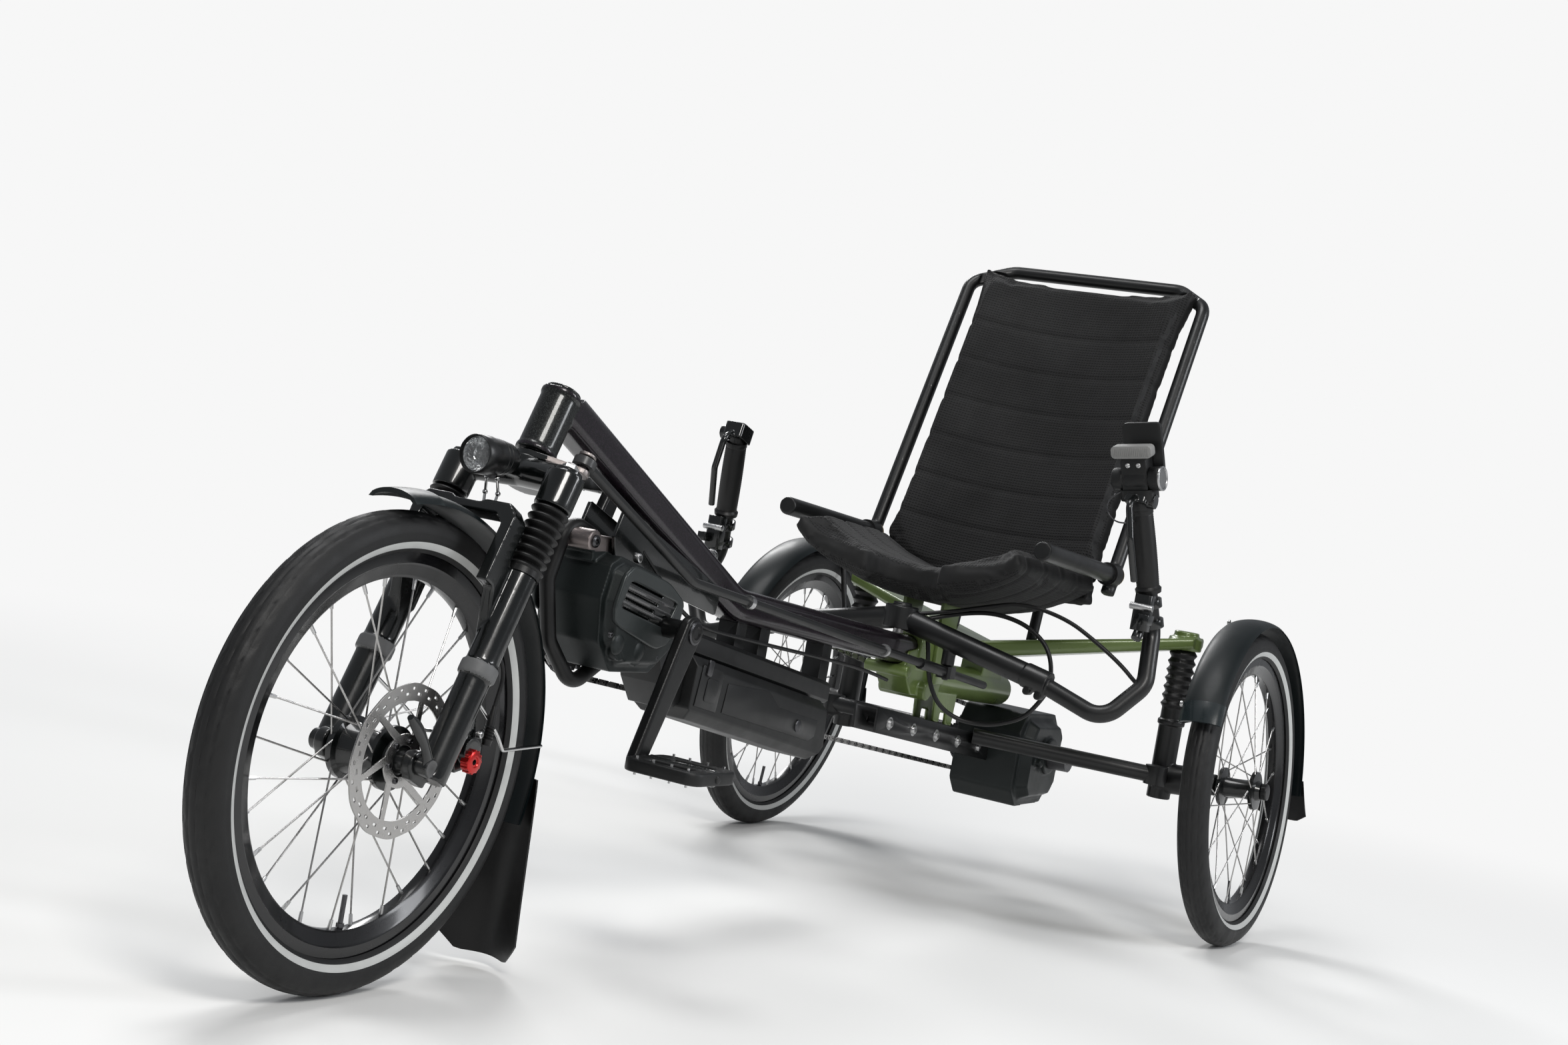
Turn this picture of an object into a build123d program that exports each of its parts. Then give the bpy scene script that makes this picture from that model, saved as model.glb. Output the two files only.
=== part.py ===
"""Recumbent delta trike: one steered front wheel, two sprung rear wheels.

Frame of the model: +Z up, the rider faces -Y, the rider's left hand is +X.
While the pieces are made, Y and Z are counted from the front axle. At the
end all of them move by the same shift, so that the origin lies on the
ground under the middle of the whole trike. Lengths are in millimetres,
angles in degrees.
"""
from build123d import *
import os
from math import atan2, cos, degrees, radians, sin, tan

# Wheels on the ground
WHEELBASE = 1655.0
TRACK = 837.0
CAMBER = 4.5
TYRE_RADIUS = 250.0
TYRE_WIDTH = 47.0
TYRE_HEIGHT = 41.0
TYRE_FACETS = 9
RIM_WIDTH = 27.0
RIM_DEPTH = 29.0
SPOKE_SIZE = 2.0
SPOKES_PER_SIDE = 14
SPOKE_LEAN = 38.0
FIT = 0.3

# Front hub and brake disc
FRONT_HUB_WIDTH = 100.0
FRONT_FLANGE_X = 27.0
FRONT_FLANGE_RADIUS = 30.0
FRONT_AXLE_RADIUS = 6.0
DISC_RADIUS = 80.0
DISC_BAND = 14.0
DISC_THICK = 2.0
DISC_X = 40.0
DISC_ARMS = 6

# Rear hubs
REAR_HUB_WIDTH = 74.0
REAR_FLANGE_X = 26.0
REAR_FLANGE_RADIUS = 27.0
REAR_AXLE_RADIUS = 8.0

# Fenders
FENDER_GAP = 10.0
FENDER_RISE = 10.0
FENDER_WALL = 3.0
FRONT_FENDER_WIDTH = 58.0
REAR_FENDER_WIDTH = 64.0
FLAP_THICK = 4.0

# Fork; lengths along it are counted from the foot of its middle line
HEAD_ANGLE = 65.5
AXLE_OFFSET = 18.2
CROWN_OFFSET = 22.0
LEG_X = 68.0
CROWN_RISE = 127.0
SLEEVE_RADIUS = 21.0
SLEEVE_LENGTH = 41.0
SLEEVE_DROP = 28.0
LOWER_RADIUS = 17.5
BELLOWS_LENGTH = 77.0
BELLOWS_RADIUS = 21.0
BELLOWS_FOLDS = 7
DROPOUT_THICK = 14.0
BRACE_WIDTH = 66.0
BRACE_WALL = 14.0
BRACE_FRONT = -50.0
BRACE_REAR = -24.0
STEERER_RADIUS = 14.0
ARM_EYE_X = 58.0
ARM_EYE_BACK = 11.0
ARM_THICK = 7.0
ARM_PIN_RADIUS = 4.0

# Head tube and boom
HEAD_LENGTH = 78.0
HEAD_RADIUS = 22.5
BOOM_JOIN = 66.0
BOOM_SECTION = 44.0
BOOM_ROUND = 13.0
BOOM_BEND_Y = 671.0
BOOM_BEND_Z = 182.0
BOOM_FALL = 5.0
BOOM_END_Y = 1246.0

# Lamp ahead of the crown
LAMP_AHEAD = 93.4
LAMP_DROP = 53.0
LAMP_RADIUS = 21.5
LAMP_LENGTH = 67.0

# Cranks and motor
CRANK_Y = 432.0
CRANK_Z = 154.0
CRANK_LENGTH = 165.0
CRANK_ANGLE = 245.0
CRANK_INNER_X = 84.0
CRANK_THICK = 15.0
SPINDLE_RADIUS = 12.0
PEDAL_WIDTH = 96.0
PEDAL_LENGTH = 92.0
PEDAL_THICK = 22.0
PEDAL_PIN_RADIUS = 5.0
CHAINRING_RADIUS = 73.0
CHAINRING_TEETH = 38
CHAINRING_X = -66.0
MOTOR_BODY_X = 42.0
MOTOR_HALF_WIDTH = 56.0

# Battery under its rail
RAIL_HEIGHT = 30.0
RAIL_WIDTH = 40.0
RAIL_FRONT_Y = 500.0
RAIL_REAR_Y = 960.0
RAIL_FRONT_Z = 142.0
RAIL_FALL = 8.9
BATTERY_START_Y = 548.0
BATTERY_LENGTH = 372.0
BATTERY_WIDTH = 88.0
BATTERY_HEIGHT = 82.0

# Rear frame; lengths marked AHEAD are counted forward from the rear axle
SPINE_RADIUS = 26.0
SPINE_SOCKET = 58.0
SOCKET_LENGTH = 60.0
WING_AHEAD = 135.0
WING_ROOT_Z = 142.0
WING_ROOT = (96.0, 28.0)
WING_TIP_X = 312.0
WING_TIP_Z = 213.0
WING_TIP = (54.0, 18.0)
STRUT_X = 290.0
STRUT_RADIUS = 19.0
STRUT_TOP_Z = 102.0
STRUT_FOOT_Z = -44.0
STRUT_FOLDS = 7
STAY_ANGLE = 77.0
SEAT_STAY_X = 70.0
DRIVE_Z = -18.0
ARM_TUBE_RADIUS = 13.0
CHANNEL_WIDTH = 40.0
CHANNEL_HEIGHT = 38.0
CHANNEL_WALL = 4.0
CHANNEL_FRONT_Y = 1130.0
CHANNEL_FRONT_Z = 51.0

# Seat
SEAT_WIDTH = 396.0
SEAT_FRONT_Y = 1150.0
SEAT_HIP_Y = 1462.0
SEAT_FRONT_Z = 226.0
SEAT_HIP_Z = 208.0
SEAT_SAG = 73.0
SEAT_THICK = 36.0
BACK_ANGLE = 66.0
BACK_LENGTH = 600.0
BACK_SAG = 46.0
RAIL_TUBE_RADIUS = 14.0
RAIL_TUBE_X = 212.0
HOOP_RADIUS = 11.0

# Bar under the seat and its steering rod
BAR_Y = 1190.0
BAR_HUB_Z = 184.0
BAR_SLOPE = 12.4
BAR_RADIUS = 12.7
BAR_SLEEVE_RADIUS = 17.0
BAR_SLEEVE_END = 250.0
BAR_CLAMP_LENGTH = 38.0
BAR_PIN_X = 88.0
PIVOT_RADIUS = 8.0
GRIP_RADIUS = 17.0
ROD_RADIUS = 6.0
ROD_DROP = 67.0
ROD_TAIL = 140.0
ROD_BEND_Y = 470.0
ROD_BEND_Z = 210.0

X_AXIS = Vector(1, 0, 0)
SLANT = radians(HEAD_ANGLE)
UP_HEAD = Vector(0, cos(SLANT), sin(SLANT))
BACK_HEAD = Vector(0, sin(SLANT), -cos(SLANT))
FORK = Plane(origin=BACK_HEAD * AXLE_OFFSET, x_dir=X_AXIS, z_dir=UP_HEAD).location
RIM_RADIUS = TYRE_RADIUS - TYRE_HEIGHT
RING_MIDDLE = TYRE_RADIUS - TYRE_WIDTH / 2
LEAN = radians(CAMBER)
REAR_WHEEL_Z = RING_MIDDLE * cos(LEAN) + TYRE_WIDTH / 2 - TYRE_RADIUS
REAR_AXLE = Vector(TRACK / 2, WHEELBASE, REAR_WHEEL_Z)
REAR_OUT = Vector(cos(LEAN), 0, sin(LEAN))
REAR_WHEEL = Plane(origin=REAR_AXLE, x_dir=REAR_OUT, z_dir=(-sin(LEAN), 0, cos(LEAN))).location
FENDER_RADIUS = TYRE_RADIUS + FENDER_GAP
FENDER_OUTER = FENDER_RADIUS + FENDER_RISE
BRACE_TOP = FENDER_OUTER + 16.0
CROWN_TOP = TYRE_RADIUS + CROWN_RISE
SLEEVE_TOP = CROWN_TOP - SLEEVE_DROP
SLEEVE_BASE = SLEEVE_TOP - SLEEVE_LENGTH
LOWER_TOP = SLEEVE_BASE - BELLOWS_LENGTH
ROD_Z = BAR_HUB_Z - ROD_DROP
REAR_FLAP_REACH = FENDER_OUTER + 14.0
MIDDLE_Y = (WHEELBASE + REAR_FLAP_REACH - TYRE_RADIUS) / 2

NODES = {}


def keep(name, *shapes):
    """File solids under a node's name."""
    solids = []
    for shape in shapes:
        solids += list(shape.solids())
    NODES.setdefault(name, []).extend(solids)


def mirrored(shape):
    return shape.mirror(Plane.YZ)


def cut_by(piece, *others):
    for other in others:
        piece = piece - other
    return piece


def rod(start, end, radius):
    """A round bar from one point to another."""
    start = Vector(*start)
    way = Vector(*end) - start
    return extrude(Plane(origin=start, z_dir=way) * Circle(radius), way.length)


def bent_rod(points, bend, radius):
    """A round bar along straight runs joined by arcs of one radius."""
    path = FilletPolyline(*points, radius=bend)
    first = Vector(*points[1]) - Vector(*points[0])
    return sweep(Plane(origin=points[0], z_dir=first) * Circle(radius), path=path)


def side_plane(x):
    """A plane across the trike, whose own axes are Y and Z."""
    return Plane(origin=(x, 0, 0), x_dir=(0, 1, 0), z_dir=(1, 0, 0))


def outline(points, corner=0.0):
    """A face from (across, up) points, with rounded corners if asked."""
    face = make_face(Polyline(*points, close=True))
    if corner:
        face = fillet(face.vertices(), corner)
    return face


def side_plate(points, x_low, x_high, corner=0.0):
    """An outline of (y, z) points, as thick as from x_low to x_high."""
    return extrude(side_plane(x_low) * outline(points, corner), x_high - x_low)


def turned(points):
    """A round body about the X axis, from an outline of (x, radius) points."""
    return revolve(make_face(Polyline(*points, close=True)), Axis.X)


def sprocket(radius, teeth, x_low, thick):
    """A toothed disc about the X axis."""
    tooth_shape = ((-0.40, -3.0), (-0.22, 2.5), (0.22, 2.5), (0.40, -3.0))
    points = []
    for i in range(teeth):
        for part, rise in tooth_shape:
            turn = radians(360.0 * (i + part) / teeth)
            points.append(((radius + rise) * cos(turn), (radius + rise) * sin(turn)))
    return extrude(side_plane(x_low) * make_face(Polyline(*points, close=True)), thick)


def fender_band(width, start, end, grow=0.0):
    """A crowned sheet about the X axis, from one angle to another, 0 being +Y."""
    half = width / 2 + grow
    foot = FENDER_RADIUS
    top = FENDER_OUTER + grow
    wall = FENDER_WALL + grow
    section = ThreePointArc((-half, foot), (0, top), (half, foot))
    section += Line((half, foot), (half - wall, foot))
    section += ThreePointArc((half - wall, foot), (0, top - wall), (-half + wall, foot))
    section += Line((-half + wall, foot), (-half, foot))
    face = make_face(section).rotate(Axis.X, start)
    return revolve(face, Axis.X, end - start)


def bellows(radius, length, folds):
    """A folded rubber sleeve standing on the ground of its own frame."""
    step = length / (2 * folds)
    points = [(0, 0)]
    for i in range(2 * folds + 1):
        points.append((radius if i % 2 else radius - 5, i * step))
    points.append((0, length))
    return revolve(Plane.XZ * make_face(Polyline(*points, close=True)), Axis.Z)


# Wheels, made about the X axis with the left side at +X

def tyre():
    half = TYRE_WIDTH / 2
    foot = RIM_WIDTH / 2
    points = [(foot, RIM_RADIUS), (-foot, RIM_RADIUS)]
    for i in range(TYRE_FACETS + 1):
        turn = radians(200.0 - 220.0 * i / TYRE_FACETS)
        points.append((half * cos(turn), RING_MIDDLE + half * sin(turn)))
    return turned(points)


def rim():
    half = RIM_WIDTH / 2
    floor = RIM_RADIUS - RIM_DEPTH
    edge = RIM_RADIUS - 12.0
    return turned([(-half, RIM_RADIUS), (half, RIM_RADIUS), (half, edge), (7, floor), (-7, floor), (-half, edge)])


def spokes(flange_x, flange_radius):
    """Two rows of spokes, each leaning the other way from its neighbour."""
    bars = []
    head_radius = RIM_RADIUS - RIM_DEPTH + 2.0
    for side in (-1, 1):
        for i in range(SPOKES_PER_SIDE):
            turn = 360.0 / SPOKES_PER_SIDE * (i + 0.25 * side)
            sign = 1 if i % 2 else -1
            foot_turn = radians(turn + sign * SPOKE_LEAN)
            foot = Vector(
                side * (flange_x + sign * 2.0), flange_radius * cos(foot_turn), flange_radius * sin(foot_turn)
            )
            head = Vector(side * 3.0, head_radius * cos(radians(turn)), head_radius * sin(radians(turn)))
            way = head - foot
            bars.append(extrude(Plane(origin=foot, z_dir=way) * Rectangle(SPOKE_SIZE, SPOKE_SIZE), way.length))
    return bars


def front_hub():
    half = FRONT_HUB_WIDTH / 2 - FIT
    bore = FRONT_AXLE_RADIUS + FIT
    flange = FRONT_FLANGE_X
    rise = FRONT_FLANGE_RADIUS + 4
    return turned([
        (-half, bore), (-half, 12), (-flange - 12, 15), (-flange - 5, 30), (-flange - 3, rise),
        (-flange + 3, rise), (-flange + 6, 27), (0, 24), (flange - 6, 20), (flange - 3, rise),
        (flange + 3, rise), (flange + 5, 19), (DISC_X, 19), (DISC_X, 12), (half, 10), (half, bore),
    ])


def rear_hub():
    half = REAR_HUB_WIDTH / 2 - FIT
    bore = REAR_AXLE_RADIUS + FIT
    flange = REAR_FLANGE_X
    rise = REAR_FLANGE_RADIUS + 4
    return turned([
        (-half, bore), (-half, 14), (-flange - 3, 17), (-flange - 3, rise), (-flange + 3, rise),
        (-flange + 6, 16), (flange - 6, 16), (flange - 3, rise), (flange + 3, rise),
        (flange + 3, 17), (half, 14), (half, bore),
    ])


def brake_disc():
    """A disc with a wavy inner edge, on arms from a small carrier."""
    low = DISC_X
    high = DISC_X + DISC_THICK
    inner = DISC_RADIUS - DISC_BAND
    disc = turned([(low, inner), (low, DISC_RADIUS), (high, DISC_RADIUS), (high, inner)])
    disc += turned([(low, 16), (low, 26), (high, 26), (high, 16)])
    for i in range(DISC_ARMS):
        arm = Pos((low + high) / 2, (inner + 24) / 2 + 1, 0) * Rot(12, 0, 0) * Box(DISC_THICK, inner - 20, 8)
        disc += arm.rotate(Axis.X, 360.0 / DISC_ARMS * i)
    return disc


def make_wheels():
    front = rim() + [front_hub()] + spokes(FRONT_FLANGE_X, FRONT_FLANGE_RADIUS)
    keep("front_tyre", tyre())
    keep("front_wheel", front)
    keep("front_brake_disc", brake_disc() - front_hub())
    rear = rim() + [rear_hub()] + spokes(REAR_FLANGE_X, REAR_FLANGE_RADIUS)
    for kind, shape in (("tyre", tyre()), ("wheel", rear)):
        left = REAR_WHEEL * shape
        keep("rear_%s_left" % kind, left)
        keep("rear_%s_right" % kind, mirrored(left))


# Fork, made in its own frame: X sideways, Y to the rear, Z up along the legs

def make_crown():
    boss_top = CROWN_TOP - 10
    neck = 28.0
    steerer = HEAD_LENGTH + 12
    crown = Pos(0, CROWN_OFFSET, boss_top - neck / 2) * Cylinder(24, neck)
    crown += Pos(0, CROWN_OFFSET, boss_top + steerer / 2) * Cylinder(STEERER_RADIUS, steerer)
    crown += Pos(0, CROWN_OFFSET, CROWN_TOP + HEAD_LENGTH + FIT + 2) * Cylinder(HEAD_RADIUS - 2, 4)
    for side in (-1, 1):
        leg = side * LEG_X
        crown += Pos(leg, 0, (SLEEVE_TOP + SLEEVE_BASE) / 2) * Cylinder(SLEEVE_RADIUS, SLEEVE_LENGTH)
        crown += Pos(leg, 0, SLEEVE_TOP + 3) * Cylinder(SLEEVE_RADIUS - 5, 6)
        crown += Pos(leg, 0, SLEEVE_TOP + 8) * Cylinder(8, 10)
        crown += bent_rod([
            (leg, 0, SLEEVE_BASE + 14), (leg - side * 6, 2, SLEEVE_TOP - 5), (0, CROWN_OFFSET - 6, boss_top - 15),
        ], 18, 16.5)
    crown = FORK * crown
    keep("fork_crown", crown)
    return crown


def make_lowers():
    """Two legs with dropouts, joined over the wheel by an arched brace."""
    axle_y = -AXLE_OFFSET
    inner = FRONT_HUB_WIDTH / 2 + FIT
    foot = -8.0
    wall = BRACE_WIDTH - BRACE_WALL
    arch = Polyline(
        (-BRACE_WIDTH, LOWER_TOP - 34), (-BRACE_WIDTH, BRACE_TOP - 13), (-BRACE_WIDTH + 12, BRACE_TOP),
        (-22, BRACE_TOP), (-16, BRACE_TOP - 4), (16, BRACE_TOP - 4), (22, BRACE_TOP),
        (BRACE_WIDTH - 12, BRACE_TOP), (BRACE_WIDTH, BRACE_TOP - 13), (BRACE_WIDTH, LOWER_TOP - 34),
        (wall, LOWER_TOP - 34), (wall, BRACE_TOP - 24), (wall - 10, BRACE_TOP - 14),
        (-wall + 10, BRACE_TOP - 14), (-wall, BRACE_TOP - 24), (-wall, LOWER_TOP - 34), close=True,
    )
    face = Plane(origin=(0, BRACE_REAR, 0), x_dir=X_AXIS, z_dir=(0, -1, 0)) * make_face(arch)
    lowers = extrude(face, BRACE_REAR - BRACE_FRONT)
    web = [
        (BRACE_FRONT, LOWER_TOP + 12), (BRACE_REAR, LOWER_TOP + 12), (BRACE_REAR + 2, LOWER_TOP - 3),
        (12, LOWER_TOP - 5), (14, LOWER_TOP - 62), (-8, LOWER_TOP - 84), (BRACE_FRONT + 16, LOWER_TOP - 34),
    ]
    for side in (-1, 1):
        x_low = wall if side > 0 else -BRACE_WIDTH
        leg = Pos(side * LEG_X, 0, (LOWER_TOP + foot) / 2) * Cylinder(LOWER_RADIUS, LOWER_TOP - foot)
        leg += Pos(side * LEG_X, 0, LOWER_TOP / 2) * Cylinder(LOWER_RADIUS + 3, 15)
        leg += side_plate(web, x_low, x_low + BRACE_WALL, 5)
        lug_x = side * (inner + DROPOUT_THICK / 2)
        leg += Pos(lug_x, axle_y / 2, -2) * Box(DROPOUT_THICK, AXLE_OFFSET + 8, 30)
        leg += Pos(lug_x, axle_y, 0) * Rot(0, 90, 0) * Cylinder(15, DROPOUT_THICK)
        lowers += leg
    mount = side_plate([(10, 20), (30, 26), (48, 60), (42, 78), (30, 82), (10, 92)], 54, 62, 3)
    lowers += mount
    lowers -= Pos(0, axle_y, 0) * Rot(0, 90, 0) * Cylinder(FRONT_AXLE_RADIUS, 200)
    lowers -= Pos(0, 0, 0) * Box(2 * inner, 100, 80)
    lowers = FORK * lowers
    keep("fork_lowers", lowers)
    for side in (-1, 1):
        sleeve = Pos(side * LEG_X, 0, LOWER_TOP) * bellows(BELLOWS_RADIUS, BELLOWS_LENGTH, BELLOWS_FOLDS)
        keep("fork_bellows", FORK * sleeve - lowers)
    return lowers


def make_front_axle(lowers):
    axle_y = -AXLE_OFFSET
    face_x = FRONT_HUB_WIDTH / 2 + FIT + DROPOUT_THICK
    axle = Pos(0, axle_y, 0) * Rot(0, 90, 0) * Cylinder(FRONT_AXLE_RADIUS, 2 * face_x + 10)
    head = Pos(face_x + 8, axle_y, 0) * Rot(0, 90, 0) * Cylinder(10, 16)
    nut = Pos(-face_x - 5, axle_y, 0) * Rot(0, 90, 0) * Cylinder(11, 10)
    lever = make_hull([
        (Pos(axle_y, 0) * Circle(9)).edge(),
        (Pos(axle_y - 30, 56) * Circle(5)).edge(),
    ])
    lever = extrude(side_plane(face_x + 8) * lever, 7)
    keep("front_axle", FORK * (axle + head + nut + lever) - lowers)


def make_steering_arm(crown):
    """A flat arm on the steerer with an upright pin at its end."""
    top = CROWN_TOP - 10
    eye_y = CROWN_OFFSET + ARM_EYE_BACK
    plate = extrude(make_hull([
        (Pos(0, CROWN_OFFSET) * Circle(21)).edge(),
        (Pos(ARM_EYE_X, eye_y) * Circle(10)).edge(),
    ]), ARM_THICK)
    plate = Pos(0, 0, top) * plate
    plate -= Pos(ARM_EYE_X / 2 + 2, CROWN_OFFSET + 6, top) * Rot(0, 0, 11) * Box(18, 8, 40)
    pin_foot = top + ARM_THICK
    plate += Pos(ARM_EYE_X, eye_y, pin_foot + 9) * Cylinder(ARM_PIN_RADIUS, 18)
    plate += Pos(ARM_EYE_X, eye_y, pin_foot + 17) * Cylinder(10, 4)
    keep("steering_arm", FORK * plate - crown)


def make_caliper(lowers):
    """A single-piston brake caliper behind the left leg, with its adjuster."""
    reach = DISC_RADIUS - 4
    turn = radians(36)
    mid_y = reach * cos(turn) - AXLE_OFFSET
    mid_z = reach * sin(turn)
    body = Pos(0, mid_y, mid_z) * Rot(36, 0, 0)
    caliper = body * Pos(DISC_X + 7, 0, 0) * Box(30, 34, 44)
    caliper += body * Pos(DISC_X + 26, 0, 0) * Rot(0, 90, 0) * Cylinder(14, 12)
    caliper += body * Pos(DISC_X + 35, 0, 0) * Rot(0, 90, 0) * Cylinder(11, 7)
    caliper -= turned([
        (DISC_X - 3, 0), (DISC_X - 3, DISC_RADIUS + 6), (DISC_X + 5, DISC_RADIUS + 6), (DISC_X + 5, 0),
    ]).moved(Location((0, -AXLE_OFFSET, 0)))
    keep("front_caliper", FORK * caliper - lowers)


def make_front_fender(lowers):
    band = fender_band(FRONT_FENDER_WIDTH, -2, 106)
    band += fender_band(FRONT_FENDER_WIDTH, 92, 102, 1.5)
    tab_y = (BRACE_FRONT + BRACE_REAR) / 2
    tab = FORK * (Pos(0, tab_y, FENDER_OUTER) * Box(34, 20, 14))
    tab -= turned([(-60, 0), (-60, FENDER_OUTER - 2), (60, FENDER_OUTER - 2), (60, 0)])
    band += tab
    for side in (-1, 1):
        leg = FORK * Pos(side * LEG_X, LOWER_RADIUS - 3, 92)
        start = leg.position
        edge = side * (FRONT_FENDER_WIDTH / 2 - 1.5)
        low = (side * (LEG_X - 14), 196, 6)
        band += bent_rod([tuple(start), low, (edge, FENDER_RADIUS, 8)], 9, 2.2)
    keep("front_fender", band - lowers)
    reach = FENDER_OUTER
    flap = side_plate([
        (reach - 10, -4), (reach - 2, -4), (reach + 36, -186), (reach + 20, -236),
        (reach + 14, -234), (reach + 29, -188),
    ], -44, 44)
    keep("front_mud_flap", flap - band)


def make_lamp(crown, lowers):
    seat = (FORK * Pos(0, CROWN_OFFSET - LAMP_AHEAD, CROWN_TOP - LAMP_DROP)).position
    shell = [
        (0, 0), (LAMP_RADIUS, 0), (LAMP_RADIUS, 11), (LAMP_RADIUS - 1.5, 12), (LAMP_RADIUS - 1.5, 34),
        (LAMP_RADIUS, 36), (LAMP_RADIUS, 44), (LAMP_RADIUS - 3, 54), (LAMP_RADIUS - 9, LAMP_LENGTH - 2),
        (LAMP_RADIUS - 14, LAMP_LENGTH), (0, LAMP_LENGTH),
    ]
    shell = revolve(make_face(Polyline(*shell, close=True)), Axis.Y)
    shell -= Rot(90, 0, 0) * Cylinder(LAMP_RADIUS - 2, 6)
    lamp = Location((0, seat.Y, seat.Z)) * shell
    foot_y = (BRACE_FRONT + BRACE_REAR) / 2
    for side in (-1, 1):
        foot = (FORK * Pos(side * 9, foot_y, BRACE_TOP - 5)).position
        lamp += bent_rod([
            tuple(foot), (side * 9, foot.Y + 16, foot.Z + 8), (side * 8, seat.Y + 36, seat.Z - 16),
        ], 5, 2.6)
    lamp += Pos(0, seat.Y + 34, seat.Z - 23) * Rot(0, 90, 0) * Cylinder(5, 26)
    keep("headlamp", cut_by(lamp, lowers, crown))


def make_fork():
    crown = make_crown()
    lowers = make_lowers()
    make_front_axle(lowers)
    make_steering_arm(crown)
    make_caliper(lowers)
    make_front_fender(lowers)
    make_lamp(crown, lowers)


# Frame

def boom_z(y):
    """Height of the boom's middle line at y, behind its bend."""
    return BOOM_BEND_Z - (y - BOOM_BEND_Y) * tan(radians(BOOM_FALL))


def head_point(rise):
    """A point on the steering axis, counted up from the fork's crown."""
    return (FORK * Pos(0, CROWN_OFFSET, CROWN_TOP + rise)).position


def make_boom():
    middle = FORK * Pos(0, CROWN_OFFSET, CROWN_TOP + HEAD_LENGTH / 2)
    tube = Cylinder(HEAD_RADIUS, HEAD_LENGTH)
    tube += Pos(0, 0, HEAD_LENGTH / 2 - 3) * Cylinder(HEAD_RADIUS + 1.5, 6)
    tube += Pos(0, 0, 3 - HEAD_LENGTH / 2) * Cylinder(HEAD_RADIUS + 1.5, 6)
    head = middle * tube
    bore = middle * Cylinder(STEERER_RADIUS + FIT, HEAD_LENGTH + 20)
    start = head_point(BOOM_JOIN)
    points = [tuple(start), (0, BOOM_BEND_Y, BOOM_BEND_Z), (0, BOOM_END_Y, boom_z(BOOM_END_Y))]
    path = FilletPolyline(*points, radius=120)
    way = Vector(*points[1]) - Vector(*points[0])
    section = Plane(origin=points[0], x_dir=X_AXIS, z_dir=way) * RectangleRounded(
        BOOM_SECTION, BOOM_SECTION, BOOM_ROUND
    )
    above = middle * Pos(0, 0, HEAD_LENGTH / 2 + 15) * Cylinder(HEAD_RADIUS + 2, 30)
    boom = sweep(section, path=path) - above + head - bore
    keep("boom", boom)
    return boom


# Motor, battery and what carries them; the motor is placed from the crank

def about_crank(points):
    return [(CRANK_Y + y, CRANK_Z + z) for y, z in points]


def make_motor(boom):
    shape = about_crank([
        (-114, 66), (-94, 76), (-4, 58), (40, 34), (52, 0), (36, -36), (4, -58), (-80, -58), (-114, -24), (-124, 26),
    ])
    cover = about_crank([
        (-106, 60), (-88, 68), (-8, 52), (32, 28), (42, 0), (28, -30), (0, -50), (-74, -50), (-104, -22), (-114, 24),
    ])
    body = side_plate(shape, -MOTOR_BODY_X, MOTOR_BODY_X, 9)
    depth = MOTOR_HALF_WIDTH - MOTOR_BODY_X
    face = outline(cover, 9)
    body += extrude(side_plane(MOTOR_BODY_X) * face, depth, taper=25)
    body += mirrored(extrude(side_plane(MOTOR_BODY_X) * face, depth, taper=25))
    for i in range(4):
        slot = Pos(MOTOR_HALF_WIDTH, CRANK_Y - 52 - 5 * i, CRANK_Z + 44 - 11 * i) * Rot(-12, 0, 0)
        body -= slot * Box(8, 78 - 6 * i, 5)
    for y, z in ((-82, -30), (-46, -36)):
        bump = Pos(MOTOR_HALF_WIDTH - 9, CRANK_Y + y, CRANK_Z + z) * Rot(0, 90, 0) * Cylinder(13, 14)
        body += bump
    body -= Pos(0, CRANK_Y, CRANK_Z) * Rot(0, 90, 0) * Cylinder(SPINDLE_RADIUS + FIT, 400)
    half = BOOM_SECTION / 2
    bracket = []
    plate = about_crank([(-94, 96), (-80, 132), (168, 48), (164, 14), (68, 32), (46, 48), (-87, 74)])
    for x_low in (half, -half - 5):
        bracket.append(side_plate(plate, x_low, x_low + 5, 4) - boom)
    keep("motor_bracket", *bracket)
    clamp = Pos(0, CRANK_Y - 102, CRANK_Z + 80) * Box(40, 40, 30)
    clamp += Pos(0, CRANK_Y - 122, CRANK_Z + 88) * Rot(0, 90, 0) * Cylinder(13, 40)
    motor = cut_by(body + clamp, boom, *bracket)
    keep("motor", motor)
    hose = bent_rod([
        (-14, CRANK_Y - 80, CRANK_Z + 93), (-14, CRANK_Y - 132, CRANK_Z + 108),
        (-18, CRANK_Y - 148, CRANK_Z + 36), (-10, CRANK_Y - 136, CRANK_Z - 32),
        (0, CRANK_Y - 92, CRANK_Z - 82), (0, CRANK_Y - 37, CRANK_Z - 52),
    ], 26, 9)
    keep("motor_conduit", cut_by(hose, motor, boom, *bracket))
    return motor


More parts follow.
